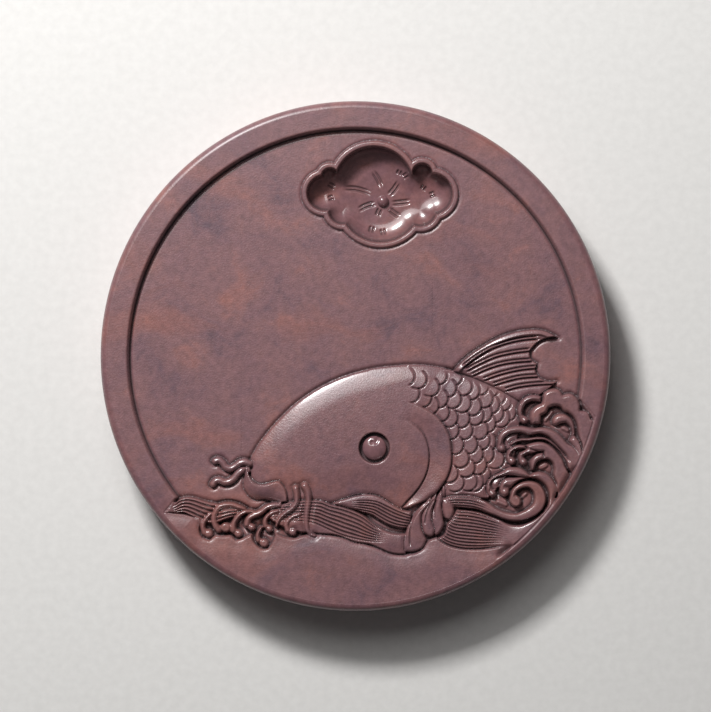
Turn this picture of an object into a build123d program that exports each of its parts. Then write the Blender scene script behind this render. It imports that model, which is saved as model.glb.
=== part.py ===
from build123d import *

import os
from math import atan2, cos, degrees, radians, sin

# An ink stone: a round slab of stone with a raised rim, a shallow grinding field, an ink pool and a carp
# among waves in relief. Millimetres. The origin is the centre of the underside, +Z is up out of the carved
# face and +Y points to the ink pool. Every place in the carving is a share of the stone's radius.

# The slab
stone_radius = 100.0
stone_thickness = 28.0
rim_edge_round = 3.0
foot_edge_round = 1.5

# The ground that is cut below the rim
rim_width = 10.7
field_drop = 3.5
pocket_wall = 3.5

# The ink pool
pool_depth = 9.0
lip_width = 2.3
lip_height = 1.0
lip_chamfer = 0.6
bowl_foot_round = 6.0
bud_radius = 2.3
bud_height = 2.6

# The relief
line_gap = 0.3
groove_width = 0.5
groove_depth = 0.7
body_crown = 3.3
body_sink = 2.4
back_step = 0.5
eye_radius = 4.7
eye_groove = 0.8
eye_floor = 1.4
eye_crown = 3.2
fin_crown = 2.3
fin_edge = 1.3
lips_crown = 2.8
lips_edge = 1.8
barbel_height = 1.4
curl_crown = 2.9
wave_crown = 3.1
wave_edge = 1.7
crest_crown = 3.3
crest_edge = 2.6

# An allowance by which a cutting shape runs past the stone
overrun = 5.0

rim_level = stone_thickness
field_level = stone_thickness - field_drop
pool_level = field_level - pool_depth
corner_turn = 50
largest_chip_share = 0.0004
fullest_round_share = 0.9
groove_start_share = 0.03
on_floor = (Align.CENTER, Align.CENTER, Align.MIN)

# Lobes of the pool's outline: centre and radius of each
pool_lobe_shares = [
    (0.072, 0.664, 0.181),
    (0.262, 0.716, 0.062),
    (0.300, 0.635, 0.105),
    (0.255, 0.573, 0.088),
    (0.098, 0.611, 0.188),
    (-0.052, 0.571, 0.077),
    (-0.120, 0.640, 0.093),
    (-0.100, 0.703, 0.057),
]
bud_share = (0.108, 0.612)

# Where the rim's inner edge gives way to the waves, at the left and at the right
left_notch_shares = [(-0.707, -0.560), (-0.745, -0.613)]
right_notch_shares = [(0.886, -0.170), (0.935, -0.238)]

# The bank's upper edge, from right to left, between the two notches
bank_edge_shares = [
    (0.620, -0.739), (0.562, -0.749), (0.517, -0.756), (0.473, -0.759), (0.421, -0.757), (0.376, -0.748),
    (0.343, -0.733), (0.318, -0.713), (0.297, -0.722), (0.280, -0.735), (0.266, -0.756), (0.246, -0.770),
    (0.200, -0.780), (0.143, -0.777), (0.088, -0.755), (0.032, -0.738), (-0.032, -0.718), (-0.110, -0.703),
    (-0.180, -0.700), (-0.235, -0.716), (-0.280, -0.712), (-0.310, -0.700), (-0.325, -0.735),
    (-0.345, -0.756), (-0.372, -0.754), (-0.395, -0.735), (-0.410, -0.702), (-0.440, -0.715),
    (-0.470, -0.723), (-0.492, -0.706), (-0.520, -0.708), (-0.545, -0.704), (-0.572, -0.722),
    (-0.602, -0.712), (-0.613, -0.680), (-0.598, -0.648), (-0.648, -0.628), (-0.706, -0.618),
    (-0.745, -0.613),
]

# The carp. The body's dome has its centre and its reach along and across in shares.
body_centre_share = (0.16, -0.44)
body_reach_shares = (0.68, 0.47)
head_shares = [
    (-0.4127, -0.461), (-0.4185, -0.430), (-0.399, -0.380), (-0.353, -0.311), (-0.299, -0.249),
    (-0.230, -0.184), (-0.153, -0.132), (-0.053, -0.084), (0.055, -0.053), (0.205, -0.036),
    (0.206, -0.110), (0.209, -0.181), (0.290, -0.290), (0.300, -0.440), (0.195, -0.600), (-0.100, -0.600),
    (-0.302, -0.585), (-0.400, -0.520),
]
back_shares = [
    (0.205, -0.036), (0.264, -0.037), (0.354, -0.051), (0.458, -0.082), (0.541, -0.1185), (0.610, -0.1565),
    (0.655, -0.185), (0.640, -0.300), (0.600, -0.460), (0.520, -0.560), (0.350, -0.560), (0.290, -0.400),
    (0.209, -0.181), (0.206, -0.110),
]
cheek_edge_shares = [
    (0.174, -0.246), (0.209, -0.258), (0.244, -0.281), (0.268, -0.310), (0.282, -0.345), (0.288, -0.384),
    (0.286, -0.422), (0.275, -0.464), (0.258, -0.499), (0.230, -0.538), (0.195, -0.576), (0.181, -0.594),
]
gill_edge_shares = [
    (0.209, -0.181), (0.240, -0.191), (0.279, -0.209), (0.314, -0.233), (0.345, -0.268), (0.366, -0.307),
    (0.375, -0.345), (0.377, -0.384), (0.375, -0.422), (0.366, -0.457), (0.352, -0.489), (0.335, -0.517),
    (0.310, -0.545), (0.279, -0.566), (0.247, -0.580), (0.191, -0.597),
]
eye_share = (0.074, -0.3605)
lips_inner_shares = [
    (-0.423, -0.448), (-0.417, -0.4655), (-0.402, -0.489), (-0.382, -0.501), (-0.355, -0.501),
    (-0.329, -0.4935), (-0.299, -0.4906), (-0.2845, -0.504), (-0.273, -0.5215), (-0.267, -0.545),
    (-0.267, -0.569),
]
lips_outer_shares = [
    (-0.432, -0.445), (-0.438, -0.480), (-0.438, -0.519), (-0.426, -0.539), (-0.408, -0.557),
    (-0.388, -0.564), (-0.367, -0.560), (-0.352, -0.549), (-0.334, -0.546), (-0.317, -0.560),
    (-0.302, -0.575),
]
back_fin_shares = [
    (0.360, -0.055), (0.382, -0.059), (0.4195, -0.019), (0.459, 0.013), (0.499, 0.0386), (0.5785, 0.080),
    (0.658, 0.101), (0.7375, 0.101), (0.797, 0.072), (0.761, 0.0716), (0.7136, 0.0506), (0.685, 0.020),
    (0.690, -0.011), (0.7136, -0.029), (0.7076, -0.055), (0.7216, -0.083), (0.7414, -0.0945),
    (0.791, -0.0985), (0.769, -0.122), (0.7295, -0.150), (0.650, -0.200), (0.500, -0.160),
]
side_fin_shares = [
    [
        (0.345, -0.515), (0.300, -0.550), (0.278, -0.566), (0.262, -0.578), (0.241, -0.603),
        (0.2246, -0.626), (0.2085, -0.656), (0.197, -0.686), (0.191, -0.716), (0.189, -0.742),
        (0.192, -0.769), (0.2246, -0.770), (0.266, -0.753), (0.281, -0.716), (0.2915, -0.708),
        (0.3146, -0.707), (0.333, -0.693), (0.347, -0.665), (0.341, -0.6215), (0.338, -0.585),
        (0.341, -0.555),
    ],
    [
        (0.3446, -0.504), (0.354, -0.520), (0.353, -0.556), (0.377, -0.578), (0.3885, -0.5985),
        (0.386, -0.6215), (0.377, -0.640), (0.3654, -0.646), (0.3515, -0.640), (0.341, -0.6215),
        (0.336, -0.585), (0.337, -0.530),
    ],
]

# Spines of the barbels and of the spray curls, each with its half widths at the start and at the end
snout_barbel_shares = [
    ([(-0.418, -0.424), (-0.435, -0.417), (-0.4525, -0.421), (-0.473, -0.435), (-0.491, -0.442),
      (-0.509, -0.436), (-0.523, -0.415), (-0.537, -0.405), (-0.556, -0.411)], 0.013, 0.007),
    ([(-0.426, -0.449), (-0.447, -0.451), (-0.464, -0.464), (-0.479, -0.482), (-0.497, -0.4935),
      (-0.5145, -0.495), (-0.535, -0.485), (-0.553, -0.489), (-0.562, -0.515)], 0.012, 0.006),
]
chin_barbel_shares = [
    ([(-0.234, -0.5186), (-0.230, -0.545), (-0.231, -0.572), (-0.246, -0.595), (-0.2756, -0.616),
      (-0.299, -0.6395), (-0.3095, -0.666)], 0.010, 0.005),
    ([(-0.199, -0.510), (-0.187, -0.536), (-0.184, -0.569), (-0.189, -0.598), (-0.1916, -0.634),
      (-0.1916, -0.663), (-0.184, -0.690), (-0.160, -0.704)], 0.011, 0.006),
]
curl_shares = [
    ([(-0.565, -0.6185), (-0.589, -0.6415), (-0.5985, -0.669), (-0.592, -0.693)], 0.009, 0.012),
    ([(-0.4385, -0.6015), (-0.494, -0.583), (-0.534, -0.592), (-0.552, -0.620), (-0.554, -0.651),
      (-0.537, -0.6815)], 0.010, 0.013),
    ([(-0.398, -0.614), (-0.4385, -0.614), (-0.463, -0.632), (-0.477, -0.657), (-0.4785, -0.684)], 0.009,
      0.012),
    ([(-0.300, -0.583), (-0.349, -0.595), (-0.371, -0.612), (-0.395, -0.623), (-0.417, -0.635),
      (-0.426, -0.660)], 0.012, 0.013),
    ([(-0.306, -0.608), (-0.340, -0.623), (-0.354, -0.6446), (-0.353, -0.667)], 0.008, 0.011),
    ([(-0.371, -0.675), (-0.383, -0.700), (-0.3815, -0.722)], 0.007, 0.011),
    ([(-0.217, -0.620), (-0.2545, -0.635), (-0.271, -0.661), (-0.266, -0.683)], 0.008, 0.011),
]
# The balls that end the curls: centre and radius
curl_ball_shares = [
    (-0.574, -0.697, 0.0185),
    (-0.509, -0.672, 0.0215),
    (-0.4585, -0.697, 0.0175),
    (-0.406, -0.672, 0.0160),
    (-0.337, -0.6785, 0.0150),
    (-0.358, -0.734, 0.0190),
    (-0.245, -0.6905, 0.0165),
]

# The waves: upper and lower edge of each, both from the same end, and the strands between them
left_wave_shares = (
    [(-0.745, -0.612), (-0.731, -0.597), (-0.708, -0.574), (-0.691, -0.560), (-0.660, -0.552),
     (-0.632, -0.555), (-0.595, -0.566), (-0.534, -0.578), (-0.485, -0.575), (-0.454, -0.5815),
     (-0.425, -0.596)],
    [(-0.745, -0.614), (-0.706, -0.618), (-0.678, -0.615), (-0.648, -0.628), (-0.598, -0.652),
     (-0.560, -0.660), (-0.500, -0.640), (-0.425, -0.620)],
)
middle_wave_shares = (
    [(-0.340, -0.5845), (-0.303, -0.583), (-0.277, -0.575), (-0.249, -0.570), (-0.173, -0.564),
     (-0.132, -0.566), (-0.098, -0.579), (-0.050, -0.590), (0.032, -0.6236), (0.0875, -0.668),
     (0.143, -0.692), (0.200, -0.695)],
    [(-0.340, -0.640), (-0.300, -0.665), (-0.230, -0.690), (-0.154, -0.698), (-0.065, -0.707),
     (-0.0055, -0.731), (0.0615, -0.7425), (0.0875, -0.754), (0.143, -0.776), (0.200, -0.779)],
)
rear_wave_shares = (
    [(-0.098, -0.579), (-0.072, -0.568), (-0.0315, -0.555), (0.002, -0.5455), (0.050, -0.540),
     (0.0875, -0.547), (0.1135, -0.560), (0.143, -0.579), (0.180, -0.599), (0.220, -0.608)],
    [(-0.060, -0.592), (-0.0055, -0.605), (0.030, -0.615), (0.0615, -0.6236), (0.091, -0.642),
     (0.125, -0.661), (0.158, -0.672), (0.220, -0.677)],
)
tail_wave_shares = (
    [(0.340, -0.556), (0.380, -0.547), (0.413, -0.5455), (0.4505, -0.547), (0.480, -0.555),
     (0.510, -0.568), (0.5695, -0.603), (0.599, -0.6124), (0.629, -0.616), (0.651, -0.609),
     (0.677, -0.5957), (0.696, -0.575), (0.6996, -0.553), (0.692, -0.5306), (0.6735, -0.5176),
     (0.655, -0.5195), (0.6326, -0.534), (0.625, -0.548)],
    [(0.340, -0.595), (0.387, -0.594), (0.428, -0.5975), (0.473, -0.603), (0.536, -0.625), (0.603, -0.648),
     (0.636, -0.6496), (0.6735, -0.642), (0.707, -0.627), (0.733, -0.605), (0.748, -0.575),
     (0.7497, -0.549), (0.7405, -0.523), (0.722, -0.501), (0.696, -0.490), (0.666, -0.490),
     (0.636, -0.501), (0.614, -0.5195), (0.606, -0.545), (0.607, -0.565)],
)
tail_ball_share = (0.629, -0.570, 0.0225)
low_wave_shares = (
    [(0.398, -0.601), (0.443, -0.603), (0.4877, -0.612), (0.532, -0.627), (0.5695, -0.642),
     (0.599, -0.657), (0.636, -0.6626), (0.6735, -0.655), (0.728, -0.620), (0.760, -0.580),
     (0.800, -0.545)],
    [(0.385, -0.620), (0.361, -0.653), (0.3427, -0.7016), (0.320, -0.713), (0.3427, -0.731),
     (0.376, -0.746), (0.4207, -0.7555), (0.473, -0.757), (0.517, -0.754), (0.562, -0.748),
     (0.620, -0.741), (0.660, -0.780), (0.760, -0.700), (0.840, -0.560)],
)

# The crests: the edges of each hooked band, and the balls that end the hooks
top_crest_shares = [
    ([(0.6487, -0.2524), (0.634, -0.221), (0.640, -0.189), (0.656, -0.165), (0.678, -0.1526),
      (0.705, -0.150), (0.7315, -0.1574)],
     [(0.660, -0.2424), (0.657, -0.2305), (0.661, -0.206), (0.673, -0.187), (0.697, -0.179),
      (0.728, -0.184)]),
    ([(0.690, -0.268), (0.683, -0.240), (0.685, -0.218), (0.693, -0.206), (0.707, -0.194), (0.727, -0.184),
      (0.7315, -0.1574), (0.736, -0.145), (0.756, -0.1306), (0.780, -0.126), (0.800, -0.133),
      (0.8144, -0.151), (0.8436, -0.1465), (0.863, -0.157), (0.878, -0.1745), (0.884, -0.194),
      (0.884, -0.211), (0.909, -0.221), (0.922, -0.245), (0.945, -0.270), (0.960, -0.300),
      (0.950, -0.400)],
     [(0.727, -0.2695), (0.729, -0.255), (0.7315, -0.235), (0.751, -0.223), (0.761, -0.206),
      (0.780, -0.198), (0.800, -0.201), (0.8144, -0.216), (0.834, -0.2256), (0.853, -0.243),
      (0.8655, -0.2695), (0.870, -0.299), (0.876, -0.320), (0.887, -0.348), (0.888, -0.400)]),
    ([(0.7705, -0.2524), (0.780, -0.235), (0.800, -0.2256), (0.824, -0.228), (0.8436, -0.240),
      (0.858, -0.262), (0.862, -0.2865), (0.860, -0.313)],
     [(0.773, -0.268), (0.790, -0.274), (0.8046, -0.267), (0.824, -0.264), (0.841, -0.279),
      (0.8485, -0.299), (0.847, -0.318)]),
    ([(0.860, -0.310), (0.875, -0.330), (0.886, -0.358), (0.884, -0.395)],
     [(0.847, -0.315), (0.836, -0.334), (0.853, -0.360), (0.880, -0.400)]),
]
top_ball_shares = [(0.6633, -0.2524, 0.0146)]
middle_crest_shares = [
    ([(0.558, -0.363), (0.5546, -0.340), (0.5546, -0.325), (0.565, -0.301), (0.5885, -0.2836),
      (0.618, -0.2747), (0.653, -0.273), (0.7005, -0.281), (0.730, -0.278), (0.7595, -0.2836),
      (0.786, -0.295), (0.8126, -0.319), (0.833, -0.341), (0.854, -0.354), (0.8686, -0.372),
      (0.8804, -0.393), (0.905, -0.410)],
     [(0.575, -0.350), (0.5855, -0.325), (0.603, -0.310), (0.627, -0.303), (0.653, -0.304),
      (0.677, -0.3116), (0.727, -0.307), (0.751, -0.316), (0.780, -0.342), (0.806, -0.369),
      (0.829, -0.3986), (0.845, -0.460)]),
    ([(0.602, -0.3455), (0.618, -0.331), (0.6415, -0.323), (0.677, -0.3205), (0.712, -0.316),
      (0.745, -0.3195), (0.780, -0.342), (0.806, -0.369), (0.829, -0.3986), (0.900, -0.410)],
     [(0.611, -0.354), (0.625, -0.344), (0.650, -0.336), (0.677, -0.335), (0.712, -0.331), (0.745, -0.333),
      (0.765, -0.3455), (0.795, -0.371), (0.8185, -0.402), (0.829, -0.430), (0.860, -0.480)]),
    ([(0.5990, -0.413), (0.591, -0.400), (0.5944, -0.378), (0.612, -0.357), (0.6357, -0.347),
      (0.665, -0.3485)],
     [(0.610, -0.402), (0.607, -0.394), (0.618, -0.375), (0.6415, -0.366), (0.675, -0.368)]),
    ([(0.646, -0.416), (0.638, -0.400), (0.6415, -0.378), (0.659, -0.369), (0.680, -0.355)],
     [(0.657, -0.404), (0.659, -0.394), (0.671, -0.387), (0.692, -0.384), (0.718, -0.375)]),
    ([(0.688, -0.449), (0.684, -0.425), (0.689, -0.4016), (0.7035, -0.387), (0.735, -0.377)],
     [(0.700, -0.450), (0.706, -0.436), (0.715, -0.418), (0.733, -0.408), (0.750, -0.407)]),
    ([(0.665, -0.349), (0.689, -0.340), (0.736, -0.336), (0.765, -0.349), (0.795, -0.376),
      (0.8165, -0.407), (0.8264, -0.437), (0.870, -0.500)],
     [(0.675, -0.368), (0.705, -0.374), (0.735, -0.377), (0.735, -0.408), (0.752, -0.407), (0.768, -0.418),
      (0.776, -0.440), (0.774, -0.463), (0.789, -0.510), (0.785, -0.590)]),
]
middle_ball_shares = [(0.6135, -0.413, 0.0155), (0.659, -0.416, 0.0145), (0.5737, -0.362, 0.016)]
lower_crest_shares = [
    ([(0.5215, -0.540), (0.512, -0.525), (0.5147, -0.496), (0.5265, -0.478), (0.547, -0.4635),
      (0.571, -0.4517), (0.594, -0.437), (0.624, -0.434), (0.653, -0.440), (0.6835, -0.463),
      (0.7064, -0.453), (0.736, -0.4546), (0.7595, -0.4664), (0.780, -0.490), (0.7905, -0.5195),
      (0.7875, -0.546), (0.777, -0.5726), (0.760, -0.600)],
     [(0.533, -0.525), (0.534, -0.496), (0.550, -0.481), (0.574, -0.474), (0.600, -0.469), (0.618, -0.471),
      (0.660, -0.478), (0.690, -0.480), (0.715, -0.487), (0.740, -0.507), (0.755, -0.534), (0.758, -0.561),
      (0.752, -0.587), (0.736, -0.612)]),
    ([(0.569, -0.535), (0.564, -0.511), (0.571, -0.490), (0.5885, -0.478), (0.620, -0.475),
      (0.660, -0.474)],
     [(0.584, -0.523), (0.590, -0.516), (0.601, -0.516), (0.612, -0.5195), (0.6475, -0.490),
      (0.683, -0.479)]),
]
lower_ball_shares = [(0.537, -0.540, 0.0160), (0.587, -0.534, 0.0185)]

# The line along which each form is highest, and the half width over which it falls to its edge's height
lips_crown_shares = ((-0.44, -0.52), (-0.27, -0.53), 0.060)
back_fin_crown_shares = ((0.42, -0.09), (0.80, 0.02), 0.120)
side_fin_crown_shares = ((0.35, -0.50), (0.23, -0.78), 0.080)
left_wave_crown_shares = ((-0.74, -0.60), (-0.43, -0.60), 0.045)
middle_wave_crown_shares = ((-0.34, -0.60), (0.19, -0.74), 0.075)
rear_wave_crown_shares = ((-0.10, -0.56), (0.20, -0.64), 0.060)
tail_wave_crown_shares = ((0.35, -0.57), (0.75, -0.58), 0.100)
low_wave_crown_shares = ((0.36, -0.66), (0.80, -0.66), 0.110)
top_crest_crown_shares = ((0.66, -0.24), (0.90, -0.24), 0.120)
middle_crest_crown_shares = ((0.58, -0.36), (0.88, -0.40), 0.110)
lower_crest_crown_shares = ((0.53, -0.50), (0.78, -0.52), 0.080)

# Where the grooves between a wave's strands lie, from its upper edge to its lower
left_groove_shares = [0.25, 0.45, 0.65]
middle_groove_shares = [0.12, 0.25, 0.38, 0.50, 0.62, 0.74, 0.86]
rear_groove_shares = [0.2, 0.4, 0.6, 0.8]


def place(share):
    """The point of the carved face at a share of the stone's radius across and up."""
    return Vector(share[0] * stone_radius, share[1] * stone_radius)


def turn_at(before, here, after):
    """How far an outline turns at a point, in degrees."""
    return abs((here - before).get_angle(after - here))


def edges_through(points):
    """The edges of a closed outline: smooth between the points where it turns sharply."""
    count = len(points)
    corners = [
        i for i in range(count)
        if turn_at(points[i - 1], points[i], points[(i + 1) % count]) > corner_turn
    ]
    if not corners:
        return [Spline(*points, periodic=True)]
    edges = []
    for first, last in zip(corners, corners[1:] + [corners[0] + count]):
        run = [points[i % count] for i in range(first, last + 1)]
        edges.append(Spline(*run) if len(run) > 2 else Line(*run))
    return edges


def grown(points, grow):
    """The points of a closed outline, each moved outwards across the outline by grow."""
    count = len(points)
    twice_area = sum(
        points[i - 1].X * points[i].Y - points[i].X * points[i - 1].Y for i in range(count)
    )
    side = grow if twice_area > 0 else -grow
    moved = []
    for i, point in enumerate(points):
        along = (points[(i + 1) % count] - points[i - 1]).normalized()
        moved.append(point + Vector(along.Y, -along.X) * side)
    return moved


def patch(shares, grow=0.0):
    """A flat region inside a closed outline."""
    return make_face(edges_through(grown([place(s) for s in shares], grow)))


def band(edge, other_edge, grow=0.0):
    """A flat region between two edges that both run from the same end."""
    return patch(edge + other_edge[::-1], grow)


def disc(ball, grow=0.0):
    """A flat disc, from its centre and radius in shares."""
    return Pos(*place(ball[:2])) * Circle(ball[2] * stone_radius + grow)


def stroke(spine, start_share, end_share, grow=0.0):
    """A flat region along a spine, whose half width runs evenly from start to end, with round ends."""
    points = [place(s) for s in spine]
    last = len(points) - 1
    left, right = [], []
    for i, point in enumerate(points):
        along = (points[min(i + 1, last)] - points[max(i - 1, 0)]).normalized()
        half_share = start_share + (end_share - start_share) * i / last
        across = Vector(-along.Y, along.X) * (half_share * stone_radius + grow)
        left.append(point + across)
        right.append(point - across)
    body = make_face(edges_through(left + right[::-1]))
    ends = [Pos(*points[0]) * Circle(start_share * stone_radius + grow)]
    ends.append(Pos(*points[last]) * Circle(end_share * stone_radius + grow))
    return join([body] + ends)


def join(regions):
    """One region out of several that overlap."""
    whole = regions[0]
    for region in regions[1:]:
        whole = whole + region
    return whole


def carved_ground(inset=0.0):
    """The flat ground below the rim: the field, the pocket behind the crests and the left notch."""
    rim_inner = stone_radius - rim_width - inset
    pocket_radius = stone_radius - pocket_wall - inset

    def on_circle(share, radius):
        point = place(share)
        return point * (radius / point.length)

    def arc(start, end, radius, through_angle):
        middle = Vector(cos(radians(through_angle)), sin(radians(through_angle))) * radius
        return ThreePointArc(start, middle, end)

    bank = [on_circle(bank_edge_shares[0], pocket_radius)]
    bank += [place(s) for s in bank_edge_shares[1:-1]]
    bank.append(on_circle(left_notch_shares[1], pocket_radius))
    bank = [bank[0]] + [
        here + Vector((after - before).Y, -(after - before).X).normalized() * inset
        for before, here, after in zip(bank, bank[1:], bank[2:])
    ] + [bank[-1]]
    right_low = on_circle(right_notch_shares[1], pocket_radius)
    right_high = on_circle(right_notch_shares[0], rim_inner)
    left_high = on_circle(left_notch_shares[0], rim_inner)
    low_angle = (angle_of(bank[0]) + angle_of(right_low)) / 2
    edges = [arc(bank[0], right_low, pocket_radius, low_angle)]
    edges.append(Line(right_low, right_high))
    high_angle = (angle_of(right_high) + angle_of(left_high) + 360) / 2
    edges.append(arc(right_high, left_high, rim_inner, high_angle))
    edges.append(Line(left_high, bank[-1]))
    edges += open_run(bank)
    return make_face(edges)


def angle_of(point):
    """The angle of a point about the stone's centre, in degrees, from -180 to 180."""
    return degrees(atan2(point.Y, point.X))


def open_run(points):
    """The edges through a row of points, with a corner wherever the row turns sharply."""
    last = len(points) - 1
    corners = [0]
    corners += [i for i in range(1, last) if turn_at(points[i - 1], points[i], points[i + 1]) > corner_turn]
    corners.append(last)
    edges = []
    for first, end in zip(corners, corners[1:]):
        run = points[first:end + 1]
        edges.append(Spline(*run) if len(run) > 2 else Line(*run))
    return edges


def raised(region, height):
    """A region of the relief stood up on the carved ground."""
    return Pos(0, 0, field_level) * extrude(region, amount=height)


def crowned(region, crown_shares, crown, edge):
    """A region under a round top: crown high along its line, falling to edge at its half width."""
    start_share, end_share, half_width_share = crown_shares
    half_width = half_width_share * stone_radius
    fall = crown - edge
    radius = (half_width**2 + fall**2) / (2 * fall)
    start, end = place(start_share), place(end_share)
    run = end - start
    turn = degrees(atan2(run.Y, run.X))
    middle = (start + end) / 2
    bar = Cylinder(radius, 2 * stone_radius, rotation=(0, 90, 0))
    bar = Pos(middle.X, middle.Y, field_level + crown - radius) * Rot(0, 0, turn) * bar
    return raised(region, crown) & bar


def body_dome(drop=0.0):
    """The carp's rounded body: a flat ellipsoid whose centre lies below the carved ground."""
    centre = place(body_centre_share)
    reach = place(body_reach_shares)
    ball = Rot(90, 0, 0) * Sphere(1)
    dome = scale(ball, by=(reach.X, reach.Y, body_crown + body_sink))
    return Pos(centre.X, centre.Y, field_level - body_sink - drop) * dome


def between(edges, fraction):
    """A line at a fraction of the way from one edge to the other, from near one end to near the other."""
    first, second = (Spline(*[place(s) for s in edge]) for edge in edges)
    steps = max(len(edge) for edge in edges)
    line = []
    for i in range(steps + 1):
        along = groove_start_share + (1 - 2 * groove_start_share) * i / steps
        line.append((first @ along) * (1 - fraction) + (second @ along) * fraction)
    return line


def grooved(wave, edges, fractions):
    """A wave with a thin groove cut into its crown at each fraction of the way between its edges."""
    for fraction in fractions:
        line = between(edges, fraction)
        left, right = [], []
        for i, point in enumerate(line):
            way = (line[min(i + 1, len(line) - 1)] - line[max(i - 1, 0)]).normalized()
            across = Vector(-way.Y, way.X) * (groove_width / 2)
            left.append(point + across)
            right.append(point - across)
        region = make_face(edges_through(left + right[::-1]))
        groove = extrude(region, amount=groove_depth + overrun)
        wave = wave - Pos(0, 0, field_level + wave_crown - groove_depth) * groove
    return wave


# Stone slab
def make_stone_slab():
    """The block with its rim, its carved ground, the bank and the bowl of the ink pool."""
    slab = Pos(0, 0, stone_thickness / 2) * Cylinder(stone_radius, stone_thickness)
    slab = fillet(slab.edges().filter_by(GeomType.CIRCLE).sort_by(Axis.Z)[-1], rim_edge_round)
    slab = fillet(slab.edges().filter_by(GeomType.CIRCLE).sort_by(Axis.Z)[0], foot_edge_round)
    slab -= Pos(0, 0, field_level) * extrude(carved_ground(), amount=field_drop + overrun)
    return slab - pool_bowl()


def pool_bowl():
    """The hollow of the pool: a well for each lobe, with a steep wall, a rounded foot and one flat floor."""
    wells = []
    for x, y, radius_share in pool_lobe_shares:
        radius = radius_share * stone_radius - lip_width
        foot_round = min(bowl_foot_round, radius * fullest_round_share)
        well = Cylinder(radius, pool_depth, align=on_floor)
        well = fillet(well.edges().sort_by(Axis.Z)[0], foot_round)
        centre = place((x, y))
        wells.append(Pos(centre.X, centre.Y, pool_level) * well)
    return join(wells)


def make_pool_lip():
    """The raised bead that follows the lobes of the pool."""
    outside, inside = [], []
    for x, y, radius_share in pool_lobe_shares:
        outer = radius_share * stone_radius
        mouth = outer - lip_width
        centre = place((x, y))
        at = Pos(centre.X, centre.Y, field_level)
        body = Cylinder(outer, lip_height, align=on_floor)
        outside.append(at * chamfer(body.edges().sort_by(Axis.Z)[-1], lip_chamfer))
        bore = Cylinder(mouth, lip_height + overrun, align=on_floor)
        flare = Cone(mouth, mouth + lip_chamfer, lip_chamfer, align=on_floor)
        inside.append(at * (bore + Pos(0, 0, lip_height - lip_chamfer) * flare))
    return join(outside) - join(inside)


def make_pool_bud():
    """The polished bud on the pool's floor, a ball cut flat where it rests."""
    centre = place(bud_share)
    ball = Pos(0, 0, bud_height - bud_radius) * Sphere(bud_radius)
    above = Box(2 * stone_radius, 2 * stone_radius, pool_depth, align=on_floor)
    return Pos(centre.X, centre.Y, pool_level) * (ball & above)


# The carp
def carp_head_region(grow=0.0):
    return patch(head_shares, grow)


def make_carp_head(region):
    """The head: the front of the body's dome, with the socket of the eye."""
    return (raised(region, body_crown + overrun) & body_dome()) - eye_socket()


def scaled_back_region(grow=0.0):
    return patch(back_shares, grow)


def make_scaled_back(region):
    """The back: the rear of the body's dome, a step lower than the head."""
    return raised(region, body_crown + overrun) & body_dome(back_step)


def gill_cover_region(grow=0.0):
    return band(gill_edge_shares, cheek_edge_shares, grow)


def make_gill_cover(region):
    """The crescent behind the cheek, level with the head."""
    return raised(region, body_crown + overrun) & body_dome()


def carp_lips_region(grow=0.0):
    return band(lips_inner_shares, lips_outer_shares, grow)


def make_carp_lips(region):
    """The rolled lips."""
    return crowned(region, lips_crown_shares, lips_crown, lips_edge)


def back_fin_region(grow=0.0):
    return patch(back_fin_shares, grow)


def make_back_fin(region):
    """The fan of the fin on the carp's back."""
    return crowned(region, back_fin_crown_shares, fin_crown, fin_edge)


def side_fin_region(grow=0.0):
    return join([patch(lobe, grow) for lobe in side_fin_shares])


def make_side_fin(region):
    """The folded fin below the gill cover."""
    return crowned(region, side_fin_crown_shares, wave_crown, wave_edge)


def snout_barbels_region(grow=0.0):
    return join([stroke(*barbel, grow=grow) for barbel in snout_barbel_shares])


def make_snout_barbels(region):
    """The two barbels in front of the snout."""
    return raised(region, barbel_height)


def chin_barbels_region(grow=0.0):
    return join([stroke(*barbel, grow=grow) for barbel in chin_barbel_shares])


def make_chin_barbels(region):
    """The two barbels that hang over the wave."""
    return raised(region, curl_crown)


def make_carp_eye():
    """The ball of the eye, resting on the floor of its socket."""
    centre = place(eye_share)
    rise = eye_crown - eye_floor
    ball_radius = (eye_radius**2 + rise**2) / (2 * rise)
    ball = Pos(0, 0, rise - ball_radius) * Sphere(ball_radius)
    above = Box(4 * eye_radius, 4 * eye_radius, rise, align=on_floor)
    return Pos(centre.X, centre.Y, field_level + eye_floor) * (ball & above)


def eye_socket():
    """The round socket that the head holds open for the eye."""
    centre = place(eye_share)
    at = Pos(centre.X, centre.Y, field_level + eye_floor)
    return at * Cylinder(eye_radius + eye_groove, rim_level, align=on_floor)


# The waves
def spray_curls_region(grow=0.0):
    strokes = [stroke(*curl, grow=grow) for curl in curl_shares]
    return join(strokes + [disc(ball, grow) for ball in curl_ball_shares])


def make_spray_curls(region):
    """The row of curls of spray, each with a ball at its end."""
    return raised(region, curl_crown)


def left_wave_region(grow=0.0):
    return band(*left_wave_shares, grow)


def make_left_wave(region):
    """The wave at the left edge, in strands."""
    wave = crowned(region, left_wave_crown_shares, wave_crown, wave_edge)
    return grooved(wave, left_wave_shares, left_groove_shares)


def middle_wave_region(grow=0.0):
    return band(*middle_wave_shares, grow)


def make_middle_wave(region):
    """The long wave under the head, in strands."""
    wave = crowned(region, middle_wave_crown_shares, wave_crown, wave_edge)
    return grooved(wave, middle_wave_shares, middle_groove_shares)


def rear_wave_region(grow=0.0):
    return band(*rear_wave_shares, grow)


def make_rear_wave(region):
    """The wave that rises behind the long one, in strands."""
    wave = crowned(region, rear_wave_crown_shares, wave_crown, wave_edge)
    return grooved(wave, rear_wave_shares, rear_groove_shares)


def tail_wave_region(grow=0.0):
    return band(*tail_wave_shares, grow) + disc(tail_ball_share, grow)


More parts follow.
